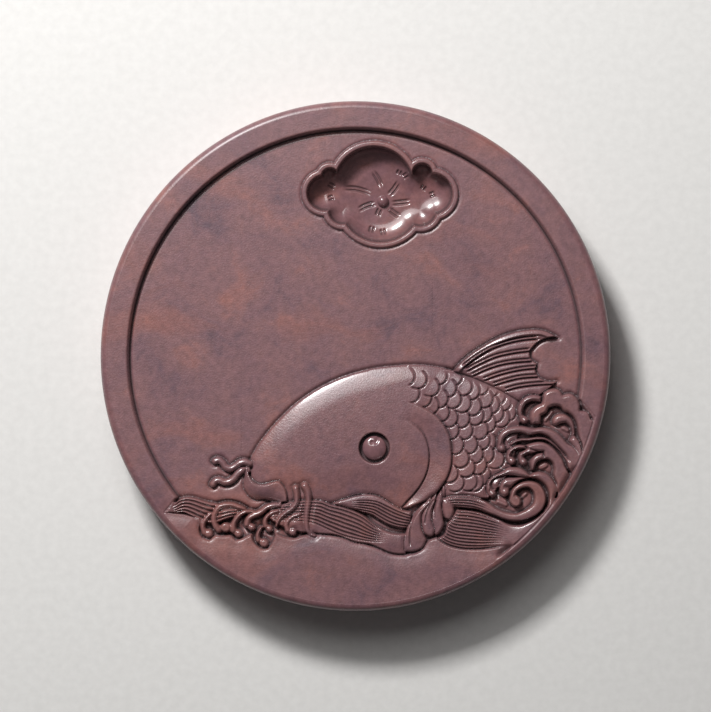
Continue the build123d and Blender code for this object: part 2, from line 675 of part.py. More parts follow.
def make_tail_wave(region):
    """The wave behind the side fin, which ends in the great curl."""
    return crowned(region, tail_wave_crown_shares, wave_crown, wave_edge)


def low_wave_region(grow=0.0):
    return band(*low_wave_shares, grow)


def make_low_wave(region):
    """The wave at the bottom right, which runs out to the rim."""
    return crowned(region, low_wave_crown_shares, wave_crown, wave_edge)


# The crests
def crest_region(bands, balls, grow):
    """The flat region of a crest: its hooked bands and the balls that end them."""
    return join([band(*edges, grow) for edges in bands] + [disc(ball, grow) for ball in balls])


def top_crest_region(grow=0.0):
    return crest_region(top_crest_shares, top_ball_shares, grow)


def make_top_crest(region):
    """The topmost crest, which breaks over the rim."""
    return crowned(region, top_crest_crown_shares, crest_crown, crest_edge)


def middle_crest_region(grow=0.0):
    return crest_region(middle_crest_shares, middle_ball_shares, grow)


def make_middle_crest(region):
    """The crest in the middle, with a row of hooks."""
    return crowned(region, middle_crest_crown_shares, crest_crown, crest_edge)


def lower_crest_region(grow=0.0):
    return crest_region(lower_crest_shares, lower_ball_shares, grow)


def make_lower_crest(region):
    """The crest that wraps round the great curl."""
    return crowned(region, lower_crest_crown_shares, crest_crown, crest_edge)


# The carved forms from the front to the back, each with its region and its solid
front_to_back = [
    ("chin_barbels", chin_barbels_region, make_chin_barbels),
    ("side_fin", side_fin_region, make_side_fin),
    ("carp_lips", carp_lips_region, make_carp_lips),
    ("snout_barbels", snout_barbels_region, make_snout_barbels),
    ("gill_cover", gill_cover_region, make_gill_cover),
    ("spray_curls", spray_curls_region, make_spray_curls),
    ("middle_wave", middle_wave_region, make_middle_wave),
    ("left_wave", left_wave_region, make_left_wave),
    ("tail_wave", tail_wave_region, make_tail_wave),
    ("lower_crest", lower_crest_region, make_lower_crest),
    ("middle_crest", middle_crest_region, make_middle_crest),
    ("top_crest", top_crest_region, make_top_crest),
    ("low_wave", low_wave_region, make_low_wave),
    ("rear_wave", rear_wave_region, make_rear_wave),
    ("scaled_back", scaled_back_region, make_scaled_back),
    ("carp_head", carp_head_region, make_carp_head),
    ("back_fin", back_fin_region, make_back_fin),
]


def without_chips(region):
    """The region without the chips that the neighbours' gaps cut off it."""
    smallest = largest_chip_share * stone_radius**2
    return join([face for face in region.faces() if face.area > smallest])


def make_relief():
    """Every carved form, cut back to what shows of it behind the forms in front."""
    ground = carved_ground(line_gap)
    in_front = []
    solids = {}
    for name, region_of, make_solid in front_to_back:
        region = region_of() & ground
        for grown_region in in_front:
            region = region - grown_region
        in_front.append(region_of(line_gap))
        solids[name] = make_solid(without_chips(region))
    solids["carp_eye"] = make_carp_eye()
    return solids


def main():
    os.makedirs("parts", exist_ok=True)
    parts = {"stone_slab": make_stone_slab(), "pool_lip": make_pool_lip(), "pool_bud": make_pool_bud()}
    parts.update(make_relief())
    for name, solid in parts.items():
        export_step(solid, f"parts/{name}.step")


main()
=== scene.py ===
import math

import bmesh
import bpy
import numpy as np
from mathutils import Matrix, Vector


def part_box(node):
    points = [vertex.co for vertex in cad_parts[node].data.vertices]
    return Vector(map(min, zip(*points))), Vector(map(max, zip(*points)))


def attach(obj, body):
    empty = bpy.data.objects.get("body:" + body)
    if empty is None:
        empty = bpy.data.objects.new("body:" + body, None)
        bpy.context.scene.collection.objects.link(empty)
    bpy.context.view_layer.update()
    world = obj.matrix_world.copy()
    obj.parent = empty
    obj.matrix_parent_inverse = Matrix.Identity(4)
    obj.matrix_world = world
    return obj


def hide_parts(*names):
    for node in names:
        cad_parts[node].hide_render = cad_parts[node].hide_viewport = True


# An ink stone: a round slab of purple-brown stone with a carp among waves in relief. The carved face is one
# surface of height over the stone's disc. It is worked out in millimetres, from the back of the relief to
# the front, then cut along the carver's lines into one closed piece for each named form. +Y points to the
# ink pool.

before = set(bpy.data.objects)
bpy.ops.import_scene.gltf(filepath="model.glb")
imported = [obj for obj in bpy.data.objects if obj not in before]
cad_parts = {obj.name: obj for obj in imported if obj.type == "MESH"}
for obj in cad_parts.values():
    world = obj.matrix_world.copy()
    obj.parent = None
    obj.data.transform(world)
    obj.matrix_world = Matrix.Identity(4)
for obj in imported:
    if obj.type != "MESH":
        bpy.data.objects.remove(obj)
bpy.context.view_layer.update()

MM = 0.001
slab_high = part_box("stone_slab")[1]
stone_radius = slab_high.x / MM
rim_level = slab_high.z / MM
field_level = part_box("pool_lip")[0].z / MM
pool_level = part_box("pool_bud")[0].z / MM

# The slab, in millimetres as all sizes here. The face's grid has so many rings, and the block ends below.
rim_edge_round = 3.0
foot_edge_round = 1.5
foot_flat_inset = 20
rim_inner = 89.3
pocket_radius = 96.5
grid_reach = 97.2
rings = 440
face_underside = pool_level - 3
block_top = pool_level - 4
rim_arc_steps = 48
foot_arc_steps = 10
side_rows = 8
slab_segments = 680

# An outline has a corner where it turns by more than this, in degrees
corner_turn = 50

# The edge of each form: the chisel's width at its foot, the moat beside it, and how its foot lies to the
# field's level. A moat across another form is cut to a share of its depth.
foot_width = 0.5
foot_start_share = 0.35
moat_depth = 1.0
moat_width = 0.95
moat_over_form_share = 0.6
edge_rise = -0.4
seam_tuck = 0.03

# The rim's inner edge and wall, and the moat at its foot
rim_edge_drop = 0.55
rim_edge_width = 0.9
rim_wall = 0.9
rim_moat = 0.5
rim_moat_width = 0.7

# The bank: its wall, its dip towards the waves and the reach of the chisel's marks on it
bank_wall = 0.8
bank_ramp = 7.0
bank_drop = 0.9
bank_blend = 12
bank_marks = 2.4
chisel_edge = 0.2

# The ground's edges lie outside this radius or below the first line, and the bank lies below the second
far_off = 50.0
edges_outside = 80
edges_below = -45
bank_below = -40

# The crests and the low wave rise to the rim over this stretch, and the notches over this width
rim_rise_start = 90.5
rim_rise_width = 6
rim_rise_gap = 0.05
notch_width = 2.5
notch_gap = 0.2
notch_fade_share = 0.25
# Cuts between the crests and the rim: first and last bearing in degrees, and depth
pocket_cuts = [(-37.4, -26.0, 2.2), (-55.6, -49.6, 1.8)]
pocket_fade = 2.5
pocket_inner_width = 1.5
pocket_outer_width = 0.3

# The body, and its round fall to the contour, which narrows behind the head, and to the waves
head_end = 20.5
body_crown = 3.3
body_sink = 2.4
contour_width = 9.0
contour_narrowing = 6.0
narrows_from = 4
narrows_over = 34
wave_fall = 0.9
wave_fall_width = 13
wave_fall_from = -40
wave_fall_over = 12
cheek_drop = 0.3
cheek_width = 0.8
cheek_fade_share = 0.2

# The eye's socket: the ball's seat, the ring round it and its wall
eye_radius = 4.7
eye_floor = 1.4
socket_reach = 8
seat_radius = 3.2
seat_edge = 0.8
socket_ring = 1.1
socket_wall = 0.7
socket_wall_power = 0.8

# The pupil: a hole drilled at a place to the eye's centre, and a slanted notch that runs up past it
pupil_place = (-0.9, 2.2)
pupil_depth = 0.75
pupil_spread = 0.5
pupil_notch_depth = 0.5
pupil_notch_width = 0.8
pupil_notch_way = (0.9, -0.45)
pupil_notch_foot = 1.0
pupil_notch_start = 0.9
pupil_notch_rise = 1.2

# The scales: the step under the gill's edge, the way they point, the rise of each and the groove round it
scale_way = np.array([0.83, -0.56])
back_step = 1.0
back_step_kept = 0.7
back_step_reach = 9
scale_lift = 0.32
scale_lift_width = 9
scales_start_width = 1.4
scale_groove = 0.75
scale_groove_width = 0.34
scale_groove_gap = 0.1
least_back_rise = 0.1

# The gill cover: its rise from the cheek, the groove at its foot and the step at its outer edge
gill_rise = 0.15
gill_fall = 1.15
gill_groove = 0.5
gill_groove_width = 0.45
gill_edge_drop = 0.5
gill_edge_width = 0.9
gill_cut = 0.75
gill_cut_width = 0.8

# The lips: their height, the ridge at the mouth's line and the round fall to the chin
lips_rise = 2.9
lips_ridge = 1.0
lips_fall = 4.5
lips_lean = 0.2
lips_lean_width = 6.5
lips_moat = 0.9
lips_moat_width = 0.8

# The back fin: its front ray slants to its edge and stands over the skin behind it, and each further ray is
# a pair of lines with a slope beyond them
fin_top = field_level + 2.2
fin_edge_width = 0.6
fin_front_rise = 0.7
fin_slant = 0.42
fin_slant_width = 1.8
fin_step = 1.1
fin_step_start = 1.6
fin_step_width = 1.0
fin_fall = 0.3
fin_fall_start_share = 0.4
ray_width = 0.32
ray_depth = 1.1
ray_slope = 0.5
ray_slope_width = 1.3
ray_slope_fade_share = 0.1
ray_fade_share = 0.06

# The waves and crests
wave_top = field_level + 3.0
wave_crown = 0.5
wave_edge_width = 0.9
crest_top = field_level + 3.3
crest_ball_drop = 0.3
narrowest_strand = 0.5
strand_valley = 0.05
bundle_edge = 0.6
crest_line_width = 0.4
crest_line_depth = 0.8

# The spray's curls, each with the ball that lies near its end, the barbels and the side fin
ball_near_share = 0.04
curl_top = field_level + 2.8
curl_bite = 1.4
snout_barbel_top = field_level + 1.7
snout_barbel_bite = 1.2
chin_barbel_top = field_level + 3.4
chin_barbel_bite = 1.0
side_fin_top = field_level + 2.3
side_fin_crown = 0.3
side_fin_edge_width = 1.4
side_fin_bite = 1.3
side_fin_moat = 0.7
side_line_width = 0.32
side_line_depth = 0.75
side_line_fade_share = 0.1

# The ink pool
lip_width = 2.3
lip_height = 1.0
lip_foot = 0.2
lip_moat = 0.5
lip_moat_width = 0.7
pool_depth = field_level - pool_level
pool_reach = 36
pool_wall = 8.0
pool_wall_power = 0.6
pool_brim = 0.25
pool_floor_crown = 1.0
pool_floor_reach = 26
vein_width = 0.4
vein_depth = 0.75
vein_fade_share = 0.3

# Rough islands of ground inside the hooks
island_rise = 0.8
island_edge = 1.1

# The hand-worked face: punch marks, how deep a hollow is to be quite dark with painted shade and ink, and
# how high an edge quite worn
punch_depth = 0.05
bank_punch_share = 0.35
swell_depth = 0.05
hollow_shade_depth = 0.55
wear_height = 0.40

# Painted shade on the pool's steep wall and round the eye's ball: where a wall leans this much it starts,
# and how dark it gets
wall_shade_start = 0.95
wall_shade_gain = 1.3
most_wall_shade = 0.75
eye_shade_width = 1.3
eye_shade_edge = 0.3

# How far apart the features of each pattern in the stone lie. Its silt is far finer than the grain and the
# specks drawn here, which are as coarse as they need to be to show.
cloud_size = 22
cloud_bend_size = 40
cloud_bend = 35
streak_sizes = (62, 21, 33)
streak_turn = -28
grain_size = 2.4
speck_gap = 2.4
dust_size = 0.7
tooth_size = 0.7
tooth_depth = 0.3
paper_tooth_size = 3.3

# The field's pieces are cut along these lines
field_cuts = (-100, -45, -10, 30, 100)
field_cut_across = 10

# The photograph's frame: its size, and how wide the stone is in it, in pixels
photo_height = 712
photo_disc_width = 510.8

# Lobes of the pool's outline: centre and radius of each
pool_lobe_shares = [
    (0.072, 0.664, 0.181),
    (0.262, 0.716, 0.062),
    (0.300, 0.635, 0.105),
    (0.255, 0.573, 0.088),
    (0.098, 0.611, 0.188),
    (-0.052, 0.571, 0.077),
    (-0.120, 0.640, 0.093),
    (-0.100, 0.703, 0.057),
]

# The bud's place in the pool
bud_share = (0.108, 0.612)

# Where the rim's inner edge gives way to the waves, at the left and at the right
left_notch_shares = [(-0.707, -0.560), (-0.745, -0.613)]
right_notch_shares = [(0.886, -0.170), (0.935, -0.238)]

# The bank's upper edge, from right to left, between the two notches
bank_edge_shares = [
    (0.620, -0.739), (0.562, -0.749), (0.517, -0.756), (0.473, -0.759), (0.421, -0.757), (0.376, -0.748),
    (0.343, -0.733), (0.318, -0.713), (0.297, -0.722), (0.280, -0.735), (0.266, -0.756), (0.246, -0.770),
    (0.200, -0.780), (0.143, -0.777), (0.088, -0.755), (0.032, -0.738), (-0.032, -0.718),
    (-0.110, -0.703), (-0.180, -0.700), (-0.235, -0.716), (-0.280, -0.712), (-0.310, -0.700),
    (-0.325, -0.735), (-0.345, -0.756), (-0.372, -0.754), (-0.395, -0.735), (-0.410, -0.702),
    (-0.440, -0.715), (-0.470, -0.723), (-0.492, -0.706), (-0.520, -0.708), (-0.545, -0.704),
    (-0.572, -0.722), (-0.602, -0.712), (-0.613, -0.680), (-0.598, -0.648), (-0.648, -0.628),
    (-0.706, -0.618), (-0.745, -0.613),
]

# The carp. The body's dome has its centre and its reach along and across in shares.
body_centre_share = (0.16, -0.44)
body_reach_shares = (0.68, 0.47)
head_shares = [
    (-0.4127, -0.461), (-0.4185, -0.430), (-0.399, -0.380), (-0.353, -0.311), (-0.299, -0.249),
    (-0.230, -0.184), (-0.153, -0.132), (-0.053, -0.084), (0.055, -0.053), (0.205, -0.036),
    (0.206, -0.110), (0.209, -0.181), (0.290, -0.290), (0.300, -0.440), (0.195, -0.600), (-0.100, -0.600),
    (-0.302, -0.585), (-0.400, -0.520),
]
back_shares = [
    (0.205, -0.036), (0.264, -0.037), (0.354, -0.051), (0.458, -0.082), (0.541, -0.1185),
    (0.610, -0.1565), (0.655, -0.185), (0.640, -0.300), (0.600, -0.460), (0.520, -0.560), (0.350, -0.560),
    (0.335, -0.400), (0.285, -0.240), (0.209, -0.181), (0.206, -0.110),
]
cheek_edge_shares = [
    (0.174, -0.246), (0.209, -0.258), (0.244, -0.281), (0.268, -0.310), (0.282, -0.345), (0.288, -0.384),
    (0.286, -0.422), (0.275, -0.464), (0.258, -0.499), (0.230, -0.538), (0.195, -0.576), (0.181, -0.594),
]
gill_edge_shares = [
    (0.209, -0.181), (0.240, -0.191), (0.279, -0.209), (0.314, -0.233), (0.345, -0.268), (0.366, -0.307),
    (0.375, -0.345), (0.377, -0.384), (0.375, -0.422), (0.366, -0.457), (0.352, -0.489), (0.335, -0.517),
    (0.310, -0.545), (0.279, -0.566), (0.247, -0.580), (0.191, -0.597),
]
eye_share = (0.074, -0.3605)
lips_inner_shares = [
    (-0.423, -0.448), (-0.417, -0.4655), (-0.402, -0.489), (-0.382, -0.501), (-0.355, -0.501),
    (-0.329, -0.4935), (-0.299, -0.4906), (-0.2845, -0.504), (-0.273, -0.5215), (-0.267, -0.545),
    (-0.267, -0.569),
]
lips_outer_shares = [
    (-0.432, -0.445), (-0.438, -0.480), (-0.438, -0.519), (-0.426, -0.539), (-0.408, -0.557),
    (-0.388, -0.564), (-0.360, -0.563), (-0.330, -0.566), (-0.302, -0.575),
]
back_fin_shares = [
    (0.360, -0.055), (0.382, -0.059), (0.4195, -0.019), (0.459, 0.013), (0.499, 0.0386), (0.5785, 0.080),
    (0.658, 0.101), (0.7375, 0.101), (0.797, 0.072), (0.761, 0.0716), (0.7136, 0.0506), (0.685, 0.020),
    (0.690, -0.011), (0.7136, -0.029), (0.7076, -0.055), (0.7216, -0.083), (0.7414, -0.0945),
    (0.791, -0.0985), (0.769, -0.122), (0.7295, -0.150), (0.650, -0.200), (0.500, -0.160),
]

# Spines of the barbels and of the spray curls, each with its half widths at the start and at the end
snout_barbel_shares = [
    (
        [
            (-0.418, -0.424), (-0.435, -0.417), (-0.4525, -0.421), (-0.473, -0.435), (-0.491, -0.442),
            (-0.509, -0.436), (-0.523, -0.418), (-0.537, -0.409), (-0.551, -0.413),
        ],
        0.013, 0.012,
    ),
    (
        [
            (-0.426, -0.449), (-0.447, -0.451), (-0.464, -0.464), (-0.479, -0.482), (-0.497, -0.4935),
            (-0.5145, -0.495), (-0.533, -0.488), (-0.548, -0.490), (-0.559, -0.503),
        ],
        0.013, 0.012,
    ),
]
chin_barbel_shares = [
    ([(-0.234, -0.5186), (-0.230, -0.545), (-0.231, -0.572), (-0.246, -0.595), (-0.2756, -0.616),
      (-0.299, -0.6395), (-0.3095, -0.666)], 0.010, 0.005),
    ([(-0.199, -0.510), (-0.187, -0.536), (-0.184, -0.569), (-0.189, -0.598), (-0.1916, -0.634),
      (-0.1916, -0.663), (-0.184, -0.690), (-0.160, -0.704)], 0.011, 0.006),
]
curl_shares = [
    ([(-0.565, -0.6185), (-0.589, -0.6415), (-0.5985, -0.669), (-0.592, -0.693)], 0.009, 0.012),
    (
        [
            (-0.4385, -0.6015), (-0.494, -0.583), (-0.534, -0.592), (-0.552, -0.620), (-0.554, -0.651),
            (-0.537, -0.6815),
        ],
        0.010, 0.013,
    ),
    (
        [(-0.398, -0.614), (-0.4385, -0.614), (-0.463, -0.632), (-0.477, -0.657), (-0.4785, -0.684)],
        0.009, 0.012,
    ),
    (
        [
            (-0.300, -0.583), (-0.349, -0.595), (-0.371, -0.612), (-0.395, -0.623), (-0.417, -0.635),
            (-0.426, -0.660),
        ],
        0.012, 0.013,
    ),
    ([(-0.306, -0.608), (-0.340, -0.623), (-0.354, -0.6446), (-0.353, -0.667)], 0.008, 0.011),
    ([(-0.371, -0.675), (-0.383, -0.700), (-0.3815, -0.722)], 0.007, 0.011),
    ([(-0.217, -0.620), (-0.2545, -0.635), (-0.271, -0.661), (-0.266, -0.683)], 0.008, 0.011),
]
# The balls that end the curls: centre and radius
curl_ball_shares = [
    (-0.574, -0.697, 0.0185),
    (-0.509, -0.672, 0.0215),
    (-0.4585, -0.697, 0.0175),
    (-0.406, -0.672, 0.0160),
    (-0.337, -0.6785, 0.0150),
    (-0.358, -0.734, 0.0190),
    (-0.245, -0.6905, 0.0165),
]

# The waves: upper and lower edge of each, both from the same end, and the strands between them
left_wave_shares = (
    [
        (-0.745, -0.612), (-0.731, -0.597), (-0.708, -0.574), (-0.691, -0.560), (-0.660, -0.552),
        (-0.632, -0.555), (-0.595, -0.566), (-0.534, -0.578), (-0.485, -0.575), (-0.454, -0.5815),
        (-0.425, -0.596),
    ],
    [
        (-0.745, -0.614), (-0.706, -0.618), (-0.678, -0.615), (-0.648, -0.628), (-0.598, -0.652),
        (-0.560, -0.660), (-0.500, -0.640), (-0.425, -0.620),
    ],
)
middle_wave_shares = (
    [
        (-0.340, -0.5845), (-0.303, -0.583), (-0.277, -0.575), (-0.249, -0.570), (-0.173, -0.564),
        (-0.132, -0.566), (-0.098, -0.579), (-0.050, -0.590), (0.032, -0.6236), (0.0875, -0.668),
        (0.143, -0.692), (0.200, -0.695),
    ],
    [
        (-0.340, -0.640), (-0.300, -0.665), (-0.230, -0.690), (-0.154, -0.698), (-0.065, -0.707),
        (-0.0055, -0.731), (0.0615, -0.7425), (0.0875, -0.754), (0.143, -0.776), (0.200, -0.779),
    ],
)
rear_wave_shares = (
    [
        (-0.098, -0.579), (-0.072, -0.568), (-0.0315, -0.555), (0.002, -0.5455), (0.050, -0.540),
        (0.0875, -0.547), (0.1135, -0.560), (0.143, -0.579), (0.180, -0.599), (0.220, -0.608),
    ],
    [
        (-0.060, -0.592), (-0.0055, -0.605), (0.030, -0.615), (0.0615, -0.6236), (0.091, -0.642),
        (0.125, -0.661), (0.158, -0.672), (0.220, -0.677),
    ],
)
tail_wave_shares = (
    [
        (0.340, -0.556), (0.380, -0.547), (0.413, -0.5455), (0.4505, -0.547), (0.480, -0.555),
        (0.510, -0.568), (0.5695, -0.603), (0.599, -0.6124), (0.629, -0.616), (0.651, -0.609),
        (0.677, -0.5957), (0.696, -0.575), (0.6996, -0.553), (0.692, -0.5306), (0.6735, -0.5176),
        (0.655, -0.5195), (0.6326, -0.534), (0.625, -0.548),
    ],
    [
        (0.340, -0.595), (0.387, -0.594), (0.428, -0.5975), (0.473, -0.603), (0.536, -0.625),
        (0.603, -0.648), (0.636, -0.6496), (0.6735, -0.642), (0.707, -0.627), (0.733, -0.605),
        (0.748, -0.575), (0.7497, -0.549), (0.7405, -0.523), (0.722, -0.501), (0.696, -0.490),
        (0.666, -0.490), (0.636, -0.501), (0.614, -0.5195), (0.606, -0.545), (0.607, -0.565),
    ],
)
tail_ball_share = (0.629, -0.570, 0.0225)
low_wave_shares = (
    [
        (0.398, -0.601), (0.443, -0.603), (0.4877, -0.612), (0.532, -0.627), (0.5695, -0.642),
        (0.599, -0.657), (0.636, -0.6626), (0.6735, -0.655), (0.728, -0.620), (0.760, -0.580),
        (0.800, -0.545),
    ],
    [
        (0.385, -0.620), (0.361, -0.653), (0.3427, -0.7016), (0.320, -0.713), (0.3427, -0.731),
        (0.376, -0.746), (0.4207, -0.7555), (0.473, -0.757), (0.517, -0.754), (0.562, -0.748),
        (0.620, -0.741), (0.660, -0.780), (0.760, -0.700), (0.840, -0.560),
    ],
)

# The crests: the edges of each hooked band, and the balls that end the hooks
top_crest_shares = [
    (
        [
            (0.6487, -0.2524), (0.634, -0.221), (0.640, -0.189), (0.656, -0.165), (0.678, -0.1526),
            (0.705, -0.150), (0.7315, -0.1574),
        ],
        [
            (0.660, -0.2424), (0.657, -0.2305), (0.661, -0.206), (0.673, -0.187), (0.697, -0.179),
            (0.728, -0.184),
        ],
    ),
    (
        [
            (0.690, -0.268), (0.683, -0.240), (0.685, -0.218), (0.693, -0.206), (0.707, -0.194),
            (0.727, -0.184), (0.7315, -0.1574), (0.736, -0.145), (0.756, -0.1306), (0.780, -0.126),
            (0.800, -0.133), (0.8144, -0.151), (0.8436, -0.1465), (0.863, -0.157), (0.878, -0.1745),
            (0.884, -0.194), (0.884, -0.211), (0.909, -0.221), (0.922, -0.245), (0.945, -0.270),
            (0.960, -0.300), (0.950, -0.400),
        ],
        [
            (0.727, -0.2695), (0.729, -0.255), (0.7315, -0.235), (0.751, -0.223), (0.761, -0.206),
            (0.780, -0.198), (0.800, -0.201), (0.8144, -0.216), (0.834, -0.2256), (0.853, -0.243),
            (0.8655, -0.2695), (0.870, -0.299), (0.876, -0.320), (0.887, -0.348), (0.888, -0.400),
        ],
    ),
    (
        [
            (0.7705, -0.2524), (0.780, -0.235), (0.800, -0.2256), (0.824, -0.228), (0.8436, -0.240),
            (0.858, -0.262), (0.862, -0.2865), (0.860, -0.313),
        ],
        [
            (0.773, -0.268), (0.790, -0.274), (0.8046, -0.267), (0.824, -0.264), (0.841, -0.279),
            (0.8485, -0.299), (0.847, -0.318),
        ],
    ),
    (
        [(0.860, -0.310), (0.875, -0.330), (0.886, -0.358), (0.884, -0.395)],
        [(0.847, -0.315), (0.836, -0.334), (0.853, -0.360), (0.880, -0.400)],
    ),
]
top_ball_shares = [(0.6633, -0.2524, 0.0146)]
middle_crest_shares = [
    (
        [
            (0.558, -0.363), (0.5546, -0.340), (0.5546, -0.325), (0.565, -0.301), (0.5885, -0.2836),
            (0.618, -0.2747), (0.653, -0.273), (0.7005, -0.281), (0.730, -0.278), (0.7595, -0.2836),
            (0.786, -0.295), (0.8126, -0.319), (0.833, -0.341), (0.854, -0.354), (0.8686, -0.372),
            (0.8804, -0.393), (0.905, -0.410),
        ],
        [
            (0.575, -0.350), (0.5855, -0.325), (0.603, -0.310), (0.627, -0.303), (0.653, -0.304),
            (0.677, -0.3116), (0.727, -0.307), (0.751, -0.316), (0.780, -0.342), (0.806, -0.369),
            (0.829, -0.3986), (0.845, -0.460),
        ],
    ),
    (
        [
            (0.602, -0.3455), (0.618, -0.331), (0.6415, -0.323), (0.677, -0.3205), (0.712, -0.316),
            (0.745, -0.3195), (0.780, -0.342), (0.806, -0.369), (0.829, -0.3986), (0.900, -0.410),
        ],
        [
            (0.611, -0.354), (0.625, -0.344), (0.650, -0.336), (0.677, -0.335), (0.712, -0.331),
            (0.745, -0.333), (0.765, -0.3455), (0.795, -0.371), (0.8185, -0.402), (0.829, -0.430),
            (0.860, -0.480),
        ],
    ),
    (
        [
            (0.5990, -0.413), (0.591, -0.400), (0.5944, -0.378), (0.612, -0.357), (0.6357, -0.347),
            (0.665, -0.3485),
        ],
        [(0.610, -0.402), (0.607, -0.394), (0.618, -0.375), (0.6415, -0.366), (0.675, -0.368)],
    ),
    (
        [(0.646, -0.416), (0.638, -0.400), (0.6415, -0.378), (0.659, -0.369), (0.680, -0.355)],
        [(0.657, -0.404), (0.659, -0.394), (0.671, -0.387), (0.692, -0.384), (0.718, -0.375)],
    ),
    (
        [(0.688, -0.449), (0.684, -0.425), (0.689, -0.4016), (0.7035, -0.387), (0.735, -0.377)],
        [(0.700, -0.450), (0.706, -0.436), (0.715, -0.418), (0.733, -0.408), (0.750, -0.407)],
    ),
    (
        [
            (0.665, -0.349), (0.689, -0.340), (0.736, -0.336), (0.765, -0.349), (0.795, -0.376),
            (0.8165, -0.407), (0.8264, -0.437), (0.870, -0.500),
        ],
        [
            (0.675, -0.368), (0.705, -0.374), (0.735, -0.377), (0.735, -0.408), (0.752, -0.407),
            (0.768, -0.418), (0.776, -0.440), (0.774, -0.463), (0.789, -0.510), (0.785, -0.590),
        ],
    ),
]
middle_ball_shares = [(0.6135, -0.413, 0.0155), (0.659, -0.416, 0.0145), (0.5737, -0.362, 0.016)]
lower_crest_shares = [
    (
        [
            (0.5215, -0.540), (0.512, -0.525), (0.5147, -0.496), (0.5265, -0.478), (0.547, -0.4635),
            (0.571, -0.4517), (0.594, -0.437), (0.624, -0.434), (0.653, -0.440), (0.6835, -0.463),
            (0.7064, -0.453), (0.736, -0.4546), (0.7595, -0.4664), (0.780, -0.490), (0.7905, -0.5195),
            (0.7875, -0.546), (0.777, -0.5726), (0.760, -0.600),
        ],
        [
            (0.533, -0.525), (0.534, -0.496), (0.550, -0.481), (0.574, -0.474), (0.600, -0.469),
            (0.618, -0.471), (0.660, -0.478), (0.690, -0.480), (0.715, -0.487), (0.740, -0.507),
            (0.755, -0.534), (0.758, -0.561), (0.752, -0.587), (0.736, -0.612),
        ],
    ),
    (
        [
            (0.569, -0.535), (0.564, -0.511), (0.571, -0.490), (0.5885, -0.478), (0.620, -0.475),
            (0.660, -0.474),
        ],
        [
            (0.584, -0.523), (0.590, -0.516), (0.601, -0.516), (0.612, -0.5195), (0.6475, -0.490),
            (0.683, -0.479),
        ],
    ),
]
lower_ball_shares = [(0.537, -0.540, 0.0160), (0.587, -0.534, 0.0185)]

# Scales: the two ends of each one's bright lower right edge, from the head to the tail
scale_edge_shares = [
    ((0.231, -0.086), (0.209, -0.1135)), ((0.277, -0.103), (0.252, -0.126)),
    ((0.251, -0.143), (0.235, -0.176)), ((0.328, -0.126), (0.309, -0.153)),
    ((0.359, -0.081), (0.330, -0.112)), ((0.2945, -0.179), (0.274, -0.198)),
    ((0.324, -0.205), (0.312, -0.222)), ((0.360, -0.179), (0.338, -0.200)),
    ((0.395, -0.1325), (0.368, -0.160)), ((0.417, -0.091), (0.399, -0.112)),
    ((0.366, -0.231), (0.344, -0.255)), ((0.412, -0.181), (0.389, -0.2035)),
    ((0.457, -0.115), (0.418, -0.155)), ((0.399, -0.252), (0.363, -0.278)),
    ((0.4526, -0.188), (0.418, -0.221)), ((0.4855, -0.146), (0.458, -0.171)),
    ((0.522, -0.127), (0.496, -0.152)), ((0.402, -0.3055), (0.378, -0.326)),
    ((0.447, -0.250), (0.402, -0.280)), ((0.491, -0.209), (0.461, -0.233)),
    ((0.539, -0.171), (0.510, -0.202)), ((0.562, -0.136), (0.541, -0.160)),
    ((0.4215, -0.361), (0.389, -0.385)), ((0.4585, -0.297), (0.430, -0.326)),
    ((0.4965, -0.254), (0.465, -0.271)), ((0.534, -0.233), (0.506, -0.259)),
    ((0.563, -0.200), (0.534, -0.226)), ((0.5875, -0.164), (0.562, -0.191)),
    ((0.399, -0.473), (0.361, -0.496)), ((0.444, -0.409), (0.423, -0.435)),
    ((0.477, -0.354), (0.447, -0.382)), ((0.518, -0.299), (0.492, -0.325)),
    ((0.548, -0.274), (0.527, -0.297)), ((0.578, -0.236), (0.555, -0.259)),
    ((0.610, -0.188), (0.586, -0.214)), ((0.4675, -0.444), (0.442, -0.473)),
    ((0.499, -0.392), (0.4855, -0.413)), ((0.526, -0.337), (0.5045, -0.364)),
    ((0.425, -0.500), (0.400, -0.530)), ((0.473, -0.508), (0.451, -0.527)),
    ((0.5125, -0.437), (0.492, -0.461)), ((0.541, -0.392), (0.520, -0.418)),
    ((0.604, -0.250), (0.590, -0.272)), ((0.630, -0.228), (0.612, -0.250)),
    ((0.500, -0.500), (0.478, -0.527)), ((0.552, -0.345), (0.540, -0.365)),
    ((0.583, -0.400), (0.556, -0.440)), ((0.530, -0.470), (0.508, -0.502)),
]
scale_radius_share = 0.037

# Rays of the back fin: the middle line of each pair of cut lines
fin_ray_shares = [
    [(0.416, -0.046), (0.466, -0.008), (0.524, 0.027), (0.582, 0.050), (0.640, 0.064), (0.720, 0.073)],
    [(0.430, -0.058), (0.490, -0.026), (0.550, 0.000), (0.600, 0.012), (0.650, 0.020), (0.690, 0.024)],
    [(0.452, -0.078), (0.510, -0.050), (0.560, -0.033), (0.610, -0.023), (0.660, -0.018), (0.697, -0.016)],
    [(0.498, -0.094), (0.550, -0.074), (0.600, -0.060), (0.650, -0.050), (0.715, -0.044)],
    [(0.538, -0.113), (0.590, -0.096), (0.640, -0.084), (0.720, -0.078)],
    [(0.583, -0.134), (0.630, -0.120), (0.680, -0.112), (0.785, -0.106)],
]
ray_pair_share = 0.0065
ray_pair_lean_share = ray_pair_share / 4

